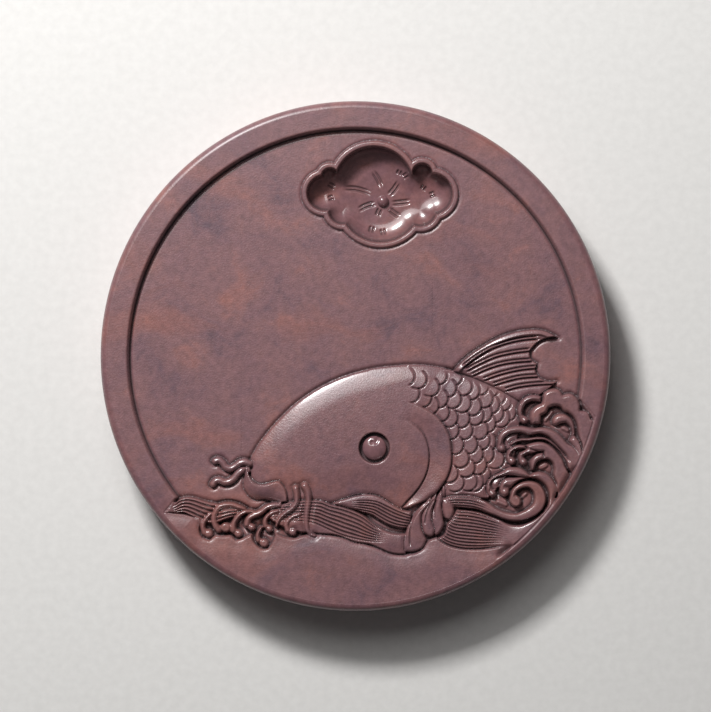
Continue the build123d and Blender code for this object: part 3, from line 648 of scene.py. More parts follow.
# The lobes of the side fin from the back to the front, and the lines cut in them
side_lobe_shares = [
    [
        (0.3446, -0.500), (0.354, -0.520), (0.354, -0.545), (0.350, -0.562), (0.340, -0.560),
        (0.334, -0.535),
    ],
    [
        (0.345, -0.552), (0.377, -0.578), (0.3885, -0.5985), (0.386, -0.6215), (0.377, -0.640),
        (0.3654, -0.646), (0.3515, -0.640), (0.341, -0.6215), (0.335, -0.590), (0.333, -0.560),
    ],
    [
        (0.336, -0.520), (0.345, -0.555), (0.340, -0.585), (0.344, -0.6215), (0.348, -0.665),
        (0.333, -0.693), (0.3146, -0.707), (0.300, -0.690), (0.297, -0.640), (0.303, -0.600),
        (0.318, -0.550),
    ],
    [
        (0.322, -0.532), (0.316, -0.565), (0.303, -0.605), (0.302, -0.645), (0.312, -0.690),
        (0.306, -0.707), (0.286, -0.710), (0.268, -0.700), (0.257, -0.668), (0.256, -0.625),
        (0.275, -0.585), (0.298, -0.552),
    ],
    [
        (0.303, -0.546), (0.290, -0.580), (0.262, -0.6215), (0.2616, -0.668), (0.274, -0.705),
        (0.281, -0.716), (0.266, -0.753), (0.2246, -0.770), (0.192, -0.769), (0.189, -0.742),
        (0.191, -0.716), (0.197, -0.686), (0.2085, -0.656), (0.2246, -0.626), (0.241, -0.603),
        (0.262, -0.578), (0.278, -0.564),
    ],
]
side_line_shares = [
    [(0.296, -0.560), (0.262, -0.592), (0.236, -0.622), (0.219, -0.660), (0.213, -0.705), (0.216, -0.752)],
    [(0.284, -0.564), (0.250, -0.595), (0.226, -0.630), (0.207, -0.670)],
    [(0.308, -0.560), (0.290, -0.590), (0.278, -0.622), (0.272, -0.660)],
    [(0.318, -0.562), (0.309, -0.600), (0.311, -0.640)],
]

# Lines cut in the pool: beside the bud in pairs, and short ones on its wall
vein_shares = [
    [(0.065, 0.640), (0.004, 0.660), (-0.050, 0.662)],
    [(0.104, 0.666), (0.088, 0.701), (0.067, 0.732)],
    [(0.130, 0.634), (0.152, 0.658), (0.172, 0.690)],
    [(0.139, 0.603), (0.178, 0.606), (0.220, 0.612)],
    [(0.130, 0.584), (0.152, 0.566), (0.176, 0.551)],
    [(0.098, 0.584), (0.092, 0.570), (0.085, 0.552)],
    [(0.083, 0.603), (0.043, 0.594), (0.0085, 0.575)],
]
wall_vein_shares = [
    [(0.067, 0.515), (0.060, 0.485)], [(0.106, 0.505), (0.112, 0.475)], [(0.262, 0.655), (0.275, 0.675)],
    [(0.290, 0.634), (0.315, 0.642)], [(-0.110, 0.620), (-0.085, 0.628)],
    [(-0.110, 0.682), (-0.080, 0.664)], [(0.168, 0.715), (0.177, 0.735)],
    [(0.186, 0.705), (0.208, 0.718)],
]
vein_pair_share = 0.0065

# Lines cut in the crests and at the rim
crest_line_shares = [
    [(0.690, -0.330), (0.735, -0.333), (0.768, -0.349), (0.796, -0.376), (0.818, -0.405), (0.834, -0.440)],
    [(0.735, -0.158), (0.733, -0.170), (0.729, -0.182)],
    [(0.612, -0.5195), (0.640, -0.493), (0.680, -0.482), (0.715, -0.488)],
]

# The strands of the middle and the rear wave: the upper and the lower line that they run between
middle_strand_shares = (
    [
        (-0.340, -0.584), (-0.249, -0.570), (-0.173, -0.564), (-0.132, -0.566), (-0.098, -0.579),
        (-0.050, -0.590), (0.032, -0.6236), (0.0875, -0.668), (0.143, -0.692), (0.200, -0.695),
    ],
    [
        (-0.340, -0.640), (-0.230, -0.645), (-0.170, -0.652), (-0.110, -0.678), (-0.060, -0.700),
        (0.000, -0.716), (0.060, -0.726), (0.110, -0.729), (0.150, -0.727), (0.200, -0.725),
    ],
)
rear_strand_shares = (
    [
        (-0.070, -0.582), (-0.010, -0.570), (0.045, -0.566), (0.085, -0.572), (0.125, -0.590),
        (0.165, -0.609), (0.220, -0.628),
    ],
    [
        (-0.060, -0.592), (-0.0055, -0.605), (0.030, -0.615), (0.0615, -0.6236), (0.091, -0.642),
        (0.125, -0.661), (0.158, -0.672), (0.220, -0.677),
    ],
)

# Islands of rough ground inside the hooks: the two ends of each one's middle line, and half its width
island_shares = [
    ((0.744, -0.250), (0.766, -0.220), 0.014), ((0.815, -0.283), (0.832, -0.292), 0.012),
    ((0.728, -0.436), (0.744, -0.428), 0.016), ((0.650, -0.556), (0.668, -0.540), 0.012),
    ((0.560, -0.572), (0.590, -0.584), 0.012),
]

# The face's grid: square rings of the grid are bent to circles, so that its lines run with the rim
steps = np.arange(-rings, rings + 1, dtype=float)
column, row = np.meshgrid(steps, steps, indexing="ij")
wide = np.abs(column) >= np.abs(row)
along = np.where(wide, column, row)
across = np.where(wide, row, column)
turn = np.divide(across, along, out=np.zeros_like(along), where=along != 0) * math.pi / 4
turn = np.where(wide, turn, math.pi / 2 - turn)
grid_step = grid_reach / rings
place_x = (along * np.cos(turn) * grid_step).ravel()
place_y = (along * np.sin(turn) * grid_step).ravel()
from_centre = np.hypot(place_x, place_y)
places = np.stack([place_x, place_y], axis=1)
height = np.full(len(places), field_level)
owner = np.zeros(len(places), dtype=int)
chisel = np.zeros(len(places))
owners = ["ground"]


# Lines and outlines
def bent(points):
    """A smooth line through points: on each span a cubic whose slope at a point is the mean of the slopes
    to its two neighbours, each weighted by the other's distance."""
    points = np.asarray(points, float)
    if len(points) < 3:
        share = np.linspace(0, 1, 9)[:, None]
        return points[0] * (1 - share) + points[-1] * share
    runs = np.diff(points, axis=0)
    lengths = np.linalg.norm(runs, axis=1)[:, None]
    slopes = runs / lengths
    middle = (slopes[:-1] * lengths[1:] + slopes[1:] * lengths[:-1]) / (lengths[:-1] + lengths[1:])
    first, last = 1.5 * slopes[:1] - 0.5 * middle[:1], 1.5 * slopes[-1:] - 0.5 * middle[-1:]
    tangents = np.vstack([first, middle, last])
    share = (np.arange(8) / 8)[None, :, None]
    start, end = points[:-1, None], points[1:, None]
    leave, arrive = (tangents[:-1] * lengths)[:, None], (tangents[1:] * lengths)[:, None]
    curve = (
        start * (2 * share**3 - 3 * share**2 + 1)
        + leave * (share**3 - 2 * share**2 + share)
        + end * (3 * share**2 - 2 * share**3)
        + arrive * (share**3 - share**2)
    )
    return np.vstack([curve.reshape(-1, 2), points[-1:]])


def corners_of(points):
    """Where a row of points turns by more than a corner's turn, by index, without its two ends."""
    runs = np.diff(points, axis=0)
    headings = np.arctan2(runs[:, 1], runs[:, 0])
    turns = np.abs((np.diff(headings) + math.pi) % (2 * math.pi) - math.pi)
    return [int(i) + 1 for i in np.nonzero(turns > math.radians(corner_turn))[0]]


def line_of(shares):
    """A line through shares of the radius, in millimetres: smooth between its corners."""
    points = np.asarray(shares, float) * stone_radius
    stops = [0] + corners_of(points) + [len(points) - 1]
    runs = [bent(points[first:last + 1]) for first, last in zip(stops, stops[1:])]
    return np.vstack([run[:-1] for run in runs] + [runs[-1][-1:]])


def outline_of(shares):
    """A closed outline through shares of the radius: from a corner on, or else smooth all round."""
    points = np.asarray(shares, float) * stone_radius
    wrapped = np.vstack([points[-1:], points, points[:1]])
    corners = [i - 1 for i in corners_of(wrapped)]
    if corners:
        return line_of(np.vstack([np.roll(shares, -corners[0], axis=0), [shares[corners[0]]]]))
    lead = 3
    looped = np.vstack([shares[-lead:], shares, shares[:lead + 1]])
    curve = bent(np.asarray(looped) * stone_radius)
    return curve[8 * lead:8 * (lead + len(shares)) + 1]


def near(line, points):
    """The distance from each point to a line, and the share of the line's length where it is nearest."""
    points, line = points.astype(np.float32), line.astype(np.float32)
    start_x, start_y = line[:-1, 0], line[:-1, 1]
    run_x, run_y = np.diff(line[:, 0]), np.diff(line[:, 1])
    squares = run_x**2 + run_y**2 + np.float32(1e-9)
    lengths = np.sqrt(squares)
    before = np.concatenate([[0], np.cumsum(lengths)[:-1]])
    distance, share = np.empty(len(points)), np.empty(len(points))
    block = max(1, 3_000_000 // len(run_x))
    for first in range(0, len(points), block):
        gap_x = points[first:first + block, :1] - start_x
        gap_y = points[first:first + block, 1:] - start_y
        part = np.clip((gap_x * run_x + gap_y * run_y) / squares, 0, 1)
        square = (gap_x - part * run_x) ** 2 + (gap_y - part * run_y) ** 2
        best = square.argmin(axis=1)
        rows = np.arange(len(best))
        distance[first:first + block] = np.sqrt(square[rows, best])
        share[first:first + block] = (before[best] + part[rows, best] * lengths[best]) / lengths.sum()
    return distance, share


def inside(outline, points):
    """Which points lie inside a closed outline: a ray from each crosses it an odd number of times."""
    start_x, start_y = outline[:-1, 0], outline[:-1, 1]
    end_x, end_y = outline[1:, 0], outline[1:, 1]
    slope = (end_x - start_x) / np.where(end_y == start_y, 1, end_y - start_y)
    found = np.empty(len(points), bool)
    block = max(1, 3_000_000 // len(start_x))
    for first in range(0, len(points), block):
        x, y = points[first:first + block, :1], points[first:first + block, 1:]
        crosses = ((start_y > y) != (end_y > y)) & (x < start_x + (y - start_y) * slope)
        found[first:first + block] = crosses.sum(axis=1) % 2 == 1
    return found


def window(line, margin=3.0):
    """The grid's points in a box round a line, by index."""
    low, high = line.min(axis=0) - margin, line.max(axis=0) + margin
    within = (place_x > low[0]) & (place_x < high[0]) & (place_y > low[1]) & (place_y < high[1])
    return np.nonzero(within)[0]


def depth_in(outline, here):
    """How deep the grid's points lie inside a closed outline, below zero outside it."""
    if np.linalg.norm(outline[0] - outline[-1]) > 0:
        outline = np.vstack([outline, outline[:1]])
    points = places[here]
    distance, _ = near(outline, points)
    return np.where(inside(outline, points), distance, -distance)


# Profiles
def eased(share):
    """A smooth step from 0 to 1."""
    share = np.clip(share, 0, 1)
    return share * share * (3 - 2 * share)


def rounded(depth, width):
    """A quarter circle with a foot a chisel's width wide: 0 at the edge, 1 from a width inside it."""
    share = np.clip(depth / width, 0, 1)
    return np.sqrt(1 - (1 - share) ** 2) * eased(depth / foot_width + foot_start_share)


def ridged(across, count):
    """A row of count round ridges with narrow round valleys between them, over a share across of 0 to 1:
    the root of a sine's square plus a small amount, scaled to run from 0 to 1."""
    low, high = math.sqrt(strand_valley), math.sqrt(1 + strand_valley)
    return (np.sqrt(np.sin(math.pi * across * count) ** 2 + strand_valley) - low) / (high - low)


def spread(values, reach):
    """The mean over a square of the grid that reaches so many steps each way."""
    side = 2 * rings + 1
    square = values.reshape(side, side)
    for _ in range(2):
        padded = np.pad(square, ((reach + 1, reach), (0, 0)), mode="edge").cumsum(axis=0)
        square = (padded[2 * reach + 1:] - padded[:-2 * reach - 1]) / (2 * reach + 1)
        square = square.T
    return square.ravel()


# Carving
def form(name):
    """The number of a named form of the relief."""
    if name not in owners:
        owners.append(name)
    return owners.index(name)


def dig_moat(here, outside, depth=moat_depth, width=moat_width, cut_forms=moat_over_form_share):
    """A moat round a form: deepest at its edge, falling off as a bell curve outside. Where it crosses
    another form it is cut to a share of its depth."""
    full = np.where(owner[here] == form("ground"), 1, cut_forms)
    height[here] -= full * depth * np.exp(-((np.maximum(outside, 0) / width) ** 2)) * (outside > 0)


def joined(depth, other, blend=0.8):
    """The depth inside two shapes that flow into each other: the larger of the two depths, rounded off
    where they meet."""
    return blend * np.logaddexp(depth / blend, other / blend)


def show(name, here, shown, surface):
    """Gives places to a form, at its surface."""
    height[here[shown]] = surface[shown]
    owner[here[shown]] = form(name)
    chisel[here[shown]] = 0


def carve(name, here, depth, top, width, bite=None, moat=moat_depth, within=None):
    """A form with a rounded edge, cut over what lies behind it. Its edge starts at the ground, or where
    bite is given at that depth below what is behind it."""
    shown = depth > 0
    if within is not None:
        shown &= within[here]
    behind = height[here]
    low = field_level + edge_rise if bite is None else np.maximum(field_level, behind - bite)
    surface = low + (top - low) * rounded(depth, width)
    dig_moat(here, np.where(within[here], -depth, -1) if within is not None else -depth, moat)
    show(name, here, shown, surface)


def stroke_outline(spine, start_share, end_share):
    """The outline of a stroke whose half width runs evenly from start to end, with round ends."""
    line = line_of(spine)
    way = np.gradient(line, axis=0)
    way /= np.linalg.norm(way, axis=1)[:, None]
    across = np.stack([-way[:, 1], way[:, 0]], axis=1)
    length = np.concatenate([[0], np.cumsum(np.linalg.norm(np.diff(line, axis=0), axis=1))])
    half = stone_radius * (start_share + (end_share - start_share) * length / length[-1])[:, None]
    bow = np.linspace(0, math.pi, 9)[1:-1, None]
    cap = line[-1] + half[-1] * (np.cos(bow) * across[-1] + np.sin(bow) * way[-1])
    tail = line[0] - half[0] * (np.cos(bow) * across[0] + np.sin(bow) * way[0])
    return np.vstack([line + across * half, cap, (line - across * half)[::-1], tail])


def disc_outline(x, y, radius):
    """The outline of a disc, from its centre and radius in shares."""
    angle = np.linspace(0, 2 * math.pi, 49)[:, None]
    ring = np.hstack([np.cos(angle), np.sin(angle)]) * radius
    return (ring + (x, y)) * stone_radius


def engrave(shares, width, depth, only=None, fade=0.12):
    """A cut line: a bell-shaped groove that runs out at both ends."""
    line = line_of(shares)
    here = window(line, 3 * width)
    distance, share = near(line, places[here])
    ends = eased(share / fade) * eased((1 - share) / fade)
    cut = depth * ends * np.exp(-((distance / width) ** 2))
    if only is not None:
        cut = cut * (owner[here] == form(only))
    height[here] -= cut


# The ground, the rim and the bank
def on_circle(share, radius):
    """The place in shares at a radius in millimetres, in the direction of a share."""
    return tuple(np.asarray(share) / np.linalg.norm(share) * radius / stone_radius)


def arc_points(start_share, end_share, radius, count):
    """Points of an arc about the stone's centre from one direction round to another, against the clock."""
    first, last = (math.atan2(share[1], share[0]) for share in (start_share, end_share))
    angle = np.linspace(first, last + (2 * math.pi if last < first else 0), count)[:, None]
    return np.hstack([np.cos(angle), np.sin(angle)]) * radius


def carve_ground():
    """The rim, the sunk ground and the bank: level outside the ground's outline, with a rounded inner edge
    and a steep wall, while the bank dips towards the waves along a curve over its ramp. Returns the places
    inside the ground's outline."""
    bank = line_of([on_circle(bank_edge_shares[0], pocket_radius)] + bank_edge_shares[1:])
    right_high, right_low = right_notch_shares
    wall = np.vstack([
        arc_points(bank_edge_shares[0], right_low, pocket_radius, 60),
        arc_points(right_high, left_notch_shares[0], rim_inner, 240),
        line_of(left_notch_shares)[-1:],
    ])
    outline = np.vstack([wall, bank[::-1]])
    depth = np.full(len(places), far_off)
    here = np.nonzero((from_centre > edges_outside) | (place_y < edges_below))[0]
    depth[here] = depth_in(outline, here)
    from_bank = np.full(len(places), far_off)
    low_part = np.nonzero(place_y < bank_below)[0]
    from_bank[low_part], _ = near(bank, places[low_part])
    from_wall, _ = near(wall, places[here])
    near_bank = np.zeros(len(places), bool)
    near_bank[here] = from_bank[here] < from_wall
    dip = spread(bank_drop * (1 - np.clip(from_bank / bank_ramp, 0, 1)) ** 2, bank_blend)
    edge = rim_edge_drop * (1 - np.clip(-depth / rim_edge_width, 0, 1)) ** 2 * ~near_bank
    wall_share = eased(depth / np.where(near_bank, bank_wall, rim_wall) * 0.5 + 0.5) * 2 - 1
    edge_level = rim_level - np.where(near_bank, bank_drop, rim_edge_drop)
    sunk = edge_level - (edge_level - field_level) * np.clip(wall_share, 0, 1)
    foot = rim_moat * np.exp(-(((depth - rim_wall) / rim_moat_width) ** 2)) * ~near_bank
    height[:] = np.where(depth > 0, sunk - foot, rim_level - dip - edge)
    lip = np.clip(from_centre - (stone_radius - rim_edge_round), 0, rim_edge_round)
    height[:] = np.minimum(height, rim_level - rim_edge_round + np.sqrt(rim_edge_round**2 - lip**2))
    sunk_ground = depth > -chisel_edge
    owner[~sunk_ground & ~near_bank] = form("rim")
    owner[~sunk_ground & near_bank] = form("bank")
    chisel[:] = np.where(sunk_ground, 0, 1.0) * near_bank * np.exp(-((from_bank / bank_marks) ** 2))
    return depth > 0


# The fish
def body_dome(points):
    """The carp's rounded body: an ellipsoid whose centre lies below the ground."""
    along = (points[:, 0] / stone_radius - body_centre_share[0]) / body_reach_shares[0]
    across = (points[:, 1] / stone_radius - body_centre_share[1]) / body_reach_shares[1]
    rise = np.sqrt(np.clip(1 - along**2 - across**2, 0, 1))
    return field_level - body_sink + (body_crown + body_sink) * rise


def carve_back_fin():
    """A thin fan whose front ray is thick and slants down to its edge. Each further ray is a pair of cut
    lines with a ridge between them, and the skin slopes up again beyond them."""
    outline = outline_of(back_fin_shares)
    here = window(outline)
    points = places[here]
    depth = depth_in(outline, here)
    front, _ = near(line_of(back_fin_shares[1:9]), points)
    slant = fin_slant * np.clip(fin_slant_width - front, 0, fin_slant_width)
    step = fin_step * eased((front - fin_step_start) / fin_step_width)
    fall = fin_fall * (points[:, 0] / stone_radius - fin_fall_start_share)
    carve("back_fin", here, depth, fin_top + fin_front_rise - slant - step - fall, fin_edge_width)
    lean, apart = ray_pair_lean_share, ray_pair_share
    pair_width = 2 * ray_pair_share * stone_radius
    for ray in fin_ray_shares:
        lower = [(x + lean, y - apart) for x, y in ray]
        upper = [(x - lean, y + apart) for x, y in ray]
        to_lower, share = near(line_of(lower), points)
        to_upper, _ = near(line_of(upper), points)
        slope = ray_slope * np.exp(-to_lower / ray_slope_width) * eased((to_upper - to_lower) / pair_width)
        height[here] -= slope * eased(share / ray_slope_fade_share) * (owner[here] == form("back_fin"))
        for line in (lower, upper):
            engrave(line, ray_width, ray_depth, only="back_fin", fade=ray_fade_share)


def body_surface(points):
    """The carp's skin: its dome with a broad round fall to the contour of its back, and a fall to the
    waves."""
    contour = line_of([(-0.400, -0.520)] + head_shares[:10] + back_shares[1:7])
    to_contour, _ = near(contour, points)
    width = contour_width - contour_narrowing * eased((points[:, 0] - narrows_from) / narrows_over)
    to_waves, _ = near(line_of(middle_wave_shares[0][:4] + rear_wave_shares[0]), points)
    fall = wave_fall * (1 - eased(to_waves / wave_fall_width))
    top = body_dome(points) - fall * eased((points[:, 0] - wave_fall_from) / wave_fall_over)
    low = field_level + edge_rise
    return low + (top - low) * rounded(to_contour, width)


def edge_drop(distance, drop, width):
    """A drop to a form's edge: a parabola that ends a width inside it."""
    return drop * (1 - np.clip(distance / width, 0, 1)) ** 2


def carve_head():
    """The head and its cheek, whose edge stands over the gill cover."""
    outline = outline_of(head_shares[:11] + gill_edge_shares + head_shares[15:])
    here = window(outline)
    points = places[here]
    depth = depth_in(outline, here)
    to_cheek, share = near(line_of(cheek_edge_shares), points)
    dig_moat(here, np.where(points[:, 0] < head_end, -depth, -1), moat_depth, cut_forms=0)
    drop = edge_drop(to_cheek, cheek_drop, cheek_width) * eased(share / cheek_fade_share)
    show("carp_head", here, depth > 0, body_surface(points) - drop)


def carve_socket():
    """The eye's socket: a seat for the ball, a ring cut to the field's level and a wall with a rounded
    edge."""
    centre = np.array(eye_share) * stone_radius
    reach = np.hypot(place_x - centre[0], place_y - centre[1])
    here = np.nonzero(reach < socket_reach)[0]
    wall = np.clip((reach[here] - eye_radius - socket_ring) / socket_wall, 0, 1)
    floor = field_level + eye_floor * (1 - eased((reach[here] - seat_radius) / seat_edge))
    height[here] = floor + (height[here] - floor) * np.sqrt(1 - (1 - wall) ** 2) ** socket_wall_power


def carve_scales():
    """The back under its scales. Each scale rises to its free edge, which a round groove follows, and the
    scales nearer the head lie over those behind them."""
    outline = outline_of(back_shares)
    here = window(outline)
    depth = depth_in(outline, here)
    points = places[here]
    to_gill, share = near(line_of(gill_edge_shares), points)
    step = back_step * (1 - back_step_kept * eased(to_gill / back_step_reach))
    base = body_surface(points) - step * eased((share - 0.02) / 0.15)
    scaled = base.copy()
    behind = points[:, 0] - head_end
    lift = scale_lift * eased(behind / scale_lift_width)
    radius = scale_radius_share * stone_radius
    for start, end in reversed(scale_edge_shares):
        start, end = np.array(start) * stone_radius, np.array(end) * stone_radius
        chord = end - start
        out = np.array([-chord[1], chord[0]]) / np.linalg.norm(chord)
        sag = radius - math.sqrt(radius**2 - (np.linalg.norm(chord) / 2) ** 2)
        centre = (start + end) / 2 - out * (radius - sag)
        offset = points - centre
        reach = np.hypot(offset[:, 0], offset[:, 1])
        forward = offset @ scale_way / radius
        facing = forward * radius / np.maximum(reach, 0.01)
        value = base + lift * np.clip(forward + 0.1, 0, 1)
        cover = eased((forward + 0.45) / 0.35) * (reach < radius)
        scaled = scaled + (value - scaled) * cover
        across = (reach - radius - scale_groove_gap) / scale_groove_width
        scaled = scaled - scale_groove * np.exp(-(across**2)) * eased((facing + 0.15) / 0.4)
    scaled = base + (scaled - base) * eased(behind / scales_start_width)
    dug = (owner[here] != form("carp_head")) & (behind >= 0)
    dig_moat(here, np.where(dug, -depth, -1), moat_depth)
    show("scaled_back", here, depth > 0, np.maximum(scaled, field_level + least_back_rise))


def carve_gill():
    """The gill cover: a crescent that rises from the foot of the cheek to its own outer edge, which stands
    over the scales. Both steps run out at its upper end."""
    outline = outline_of(gill_edge_shares + cheek_edge_shares[::-1])
    here = window(outline)
    depth = depth_in(outline, here)
    points = places[here]
    to_cheek, share = near(line_of(cheek_edge_shares), points)
    to_edge, edge_share = near(line_of(gill_edge_shares), points)
    across = to_cheek / np.maximum(to_cheek + to_edge, 0.01)
    deep = eased(share / 0.3)
    surface = body_surface(points) + gill_rise * deep - gill_fall * deep * (1 - eased(across * 1.05))
    surface -= gill_groove * deep * np.exp(-((to_cheek / gill_groove_width) ** 2))
    surface -= edge_drop(to_edge, gill_edge_drop, gill_edge_width) * eased(edge_share / 0.15)
    show("gill_cover", here, depth > 0, surface)
    outside = np.where(depth > 0, -1, -depth) * (to_edge < to_cheek)
    cut = gill_cut * np.exp(-((np.maximum(outside, 0) / gill_cut_width) ** 2)) * (outside > 0)
    cut = cut * eased((edge_share - 0.02) / 0.2)
    height[here] = np.maximum(height[here] - cut, field_level)


def carve_lips():
    """The rolled lips: a ridge along the mouth's upper line, and a long fall from it to the chin's round
    edge."""
    outline = outline_of(lips_inner_shares + lips_outer_shares[::-1])
    here = window(outline)
    points = places[here]
    depth = depth_in(outline, here)
    to_inner, _ = near(line_of(lips_inner_shares), points)
    to_outer, _ = near(line_of(lips_outer_shares), points)
    roll = np.minimum(rounded(to_inner, lips_ridge), rounded(to_outer, lips_fall))
    roll = roll * (1 - lips_lean * eased(to_inner / lips_lean_width))
    dig_moat(here, -depth, lips_moat, lips_moat_width)
    show("carp_lips", here, depth > 0, field_level + edge_rise + (lips_rise - edge_rise) * roll)


# The waves
def reach_in(points, x, y, radius):
    """How deep points lie inside a disc given in shares, in millimetres."""
    reach = np.hypot(points[:, 0] / stone_radius - x, points[:, 1] / stone_radius - y)
    return (radius - reach) * stone_radius


def carve_wave(
    name, edges, count, cut, crown, fade=(2, 3), skip=(0, 0), balls=(), within=None, bundle=None
):
    """A bundle of strands between two edges: count round ridges across with valleys cut between them, on a
    crown that arches from edge to edge. The strands run out from one share of the length to another.
    Where a bundle is given, they lie between its two lines, and the rest of the wave is smooth."""
    outline = outline_of(edges[0] + edges[1][::-1])
    here = window(np.vstack([outline] + [disc_outline(*ball) for ball in balls]))
    points = places[here]
    depth = depth_in(outline, here)
    for ball in balls:
        depth = joined(depth, reach_in(points, *ball))
    edge_upper, edge_share = near(line_of(edges[0][skip[0]:]), points)
    edge_lower, _ = near(line_of(edges[1][skip[1]:]), points)
    middle = edge_upper / np.maximum(edge_upper + edge_lower, 0.01)
    strands = 1 - eased((edge_share - fade[0]) / (fade[1] - fade[0]))
    across = middle
    if bundle is not None:
        edge_upper, _ = near(line_of(bundle[0]), points)
        edge_lower, _ = near(line_of(bundle[1]), points)
        across = edge_upper / np.maximum(edge_upper + edge_lower, 0.01)
        in_bundle = depth_in(outline_of(bundle[0] + bundle[1][::-1]), here)
        strands = strands * eased(in_bundle / bundle_edge + 0.6)
    strands = strands * eased(((edge_upper + edge_lower) / count - narrowest_strand) / narrowest_strand)
    top = crown - wave_crown * (2 * middle - 1) ** 2 - cut * strands * (1 - ridged(across, count))
    carve(name, here, depth, top, wave_edge_width, within=within)


def carve_crest(name, bands, balls, tops, width, within):
    """A crest: hooked bands with round edges, whose tops say how each lies to the crests' level. Each hook
    swells into a round end."""
    outlines = [outline_of(edge + other[::-1]) for edge, other in bands]
    here = window(np.vstack(outlines + [disc_outline(*ball) for ball in balls]))
    points = places[here]
    low = field_level + edge_rise
    deepest = np.full(len(here), -1e3)
    surface = np.full(len(here), 0.0)
    for outline, top in zip(outlines, tops):
        depth = depth_in(outline, here)
        rise = (crest_top + top - low) * rounded(depth, width)
        surface = np.maximum(surface, low + rise - 9 * (depth <= 0))
        deepest = np.maximum(deepest, depth)
    ends = deepest.copy()
    for ball in balls:
        reach = reach_in(points, *ball)
        flowing = np.where(reach > -1.2 * ball[2] * stone_radius, joined(reach, deepest), -9)
        rise = (crest_top - crest_ball_drop - low) * rounded(flowing, width)
        surface = np.maximum(surface, low + rise - 9 * (flowing <= 0))
        ends = np.maximum(ends, flowing)
    dig_moat(here, np.where(within[here], -ends, -1))
    show(name, here, (ends > 0) & within[here], surface)


def carve_strokes(name, strokes, balls, top, bite, swell):
    """Round strokes, each cut a little into the one before it, and all widened by a swell. A stroke flows
    into the ball that lies near its end."""
    for spine, start, end in strokes:
        outline = stroke_outline(spine, start * swell, end * swell)
        tip = np.array(spine[-1])
        ball = [b for b in balls if np.linalg.norm(np.array(b[:2]) - tip) < ball_near_share]
        here = window(np.vstack([outline] + [disc_outline(*b) for b in ball]))
        depth = depth_in(outline, here)
        for b in ball:
            depth = joined(depth, reach_in(places[here], *b), 0.45)
        carve(name, here, depth, top, stone_radius * max(start, end) * swell, bite=bite)


def carve_side_fin():
    """The side fin: overlapping lobes, each a round leaf with cut lines."""
    for lobe in side_lobe_shares:
        outline = outline_of(lobe)
        here = window(outline)
        depth = depth_in(outline, here)
        top = side_fin_top + side_fin_crown * rounded(depth, depth.max())
        carve("side_fin", here, depth, top, side_fin_edge_width, bite=side_fin_bite, moat=side_fin_moat)
    for line in side_line_shares:
        engrave(line, side_line_width, side_line_depth, only="side_fin", fade=side_line_fade_share)


# The ink pool
def lobe_depths(points, inset=0.0):
    """How deep points lie inside each lobe of the pool, in millimetres."""
    return np.array([reach_in(points, *lobe) - inset for lobe in pool_lobe_shares])


def mouth_edge():
    """Points along the pool's inner edge: those of each lobe's circle that no other lobe holds."""
    angle = np.linspace(0, 2 * math.pi, 600, endpoint=False)
    circles = [
        np.stack([a * stone_radius + (r * stone_radius - lip_width) * np.cos(angle),
                  b * stone_radius + (r * stone_radius - lip_width) * np.sin(angle)], axis=1)
        for a, b, r in pool_lobe_shares
    ]
    edge = np.vstack(circles)
    return edge[lobe_depths(edge, lip_width).max(axis=0) < 0.01]


def carve_pool():
    """The pool: a round bead along the union of its lobes, and inside it a hollow whose wall falls steeply
    and rounds out to the floor, so that a ridge runs in from each corner between two lobes and dies
    away."""
    centre = np.array(bud_share) * stone_radius
    here = np.nonzero(np.hypot(place_x - centre[0], place_y - centre[1]) < pool_reach)[0]
    points = places[here]
    depth = lobe_depths(points).max(axis=0)
    bead = (depth > 0) & (depth < lip_width)
    dig_moat(here, -depth, lip_moat, lip_moat_width)
    band = rounded(np.minimum(depth, lip_width - depth) + 0.1, lip_width * 0.4)
    height[here[bead]] = (field_level - lip_foot + (lip_height + lip_foot) * band)[bead]
    owner[here[bead]] = form("pool_lip")
    hollow = np.nonzero(depth >= lip_width)[0]
    edge = mouth_edge()
    inward = np.concatenate([
        np.hypot(part[:, :1] - edge[:, 0], part[:, 1:] - edge[:, 1]).min(axis=1)
        for part in np.array_split(points[hollow], 40)
    ])
    wall = rounded(inward, pool_wall) ** pool_wall_power
    from_bud = np.hypot(points[hollow, 0] - centre[0], points[hollow, 1] - centre[1])
    floor = pool_depth - pool_floor_crown * eased(from_bud / pool_floor_reach)
    height[here[hollow]] = field_level + pool_brim - (floor + pool_brim) * wall
    owner[here[hollow]] = form("pool_bowl")
    for vein in vein_shares + wall_vein_shares:
        way = np.array(vein[-1]) - np.array(vein[0])
        way = way / np.linalg.norm(way) * vein_pair_share
        for side in (-1, 1):
            line = [(x - side * way[1], y + side * way[0]) for x, y in vein]
            engrave(line, vein_width, vein_depth, "pool_bowl", vein_fade_share)


# Where the crests run into the rim
def carve_islands():
    """Inside the hooks the ground stands up as a rough island: it rises along a short line and falls off
    smoothly at its edge."""
    for start, end, half in island_shares:
        line = np.array([start, end]) * stone_radius
        here = window(line, half * stone_radius)
        distance, _ = near(line, places[here])
        edge = eased((half * stone_radius - distance) / island_edge)
        rise = island_rise * edge * (owner[here] == form("ground"))
        height[here] += rise
        chisel[here] = np.maximum(chisel[here], eased(rise))


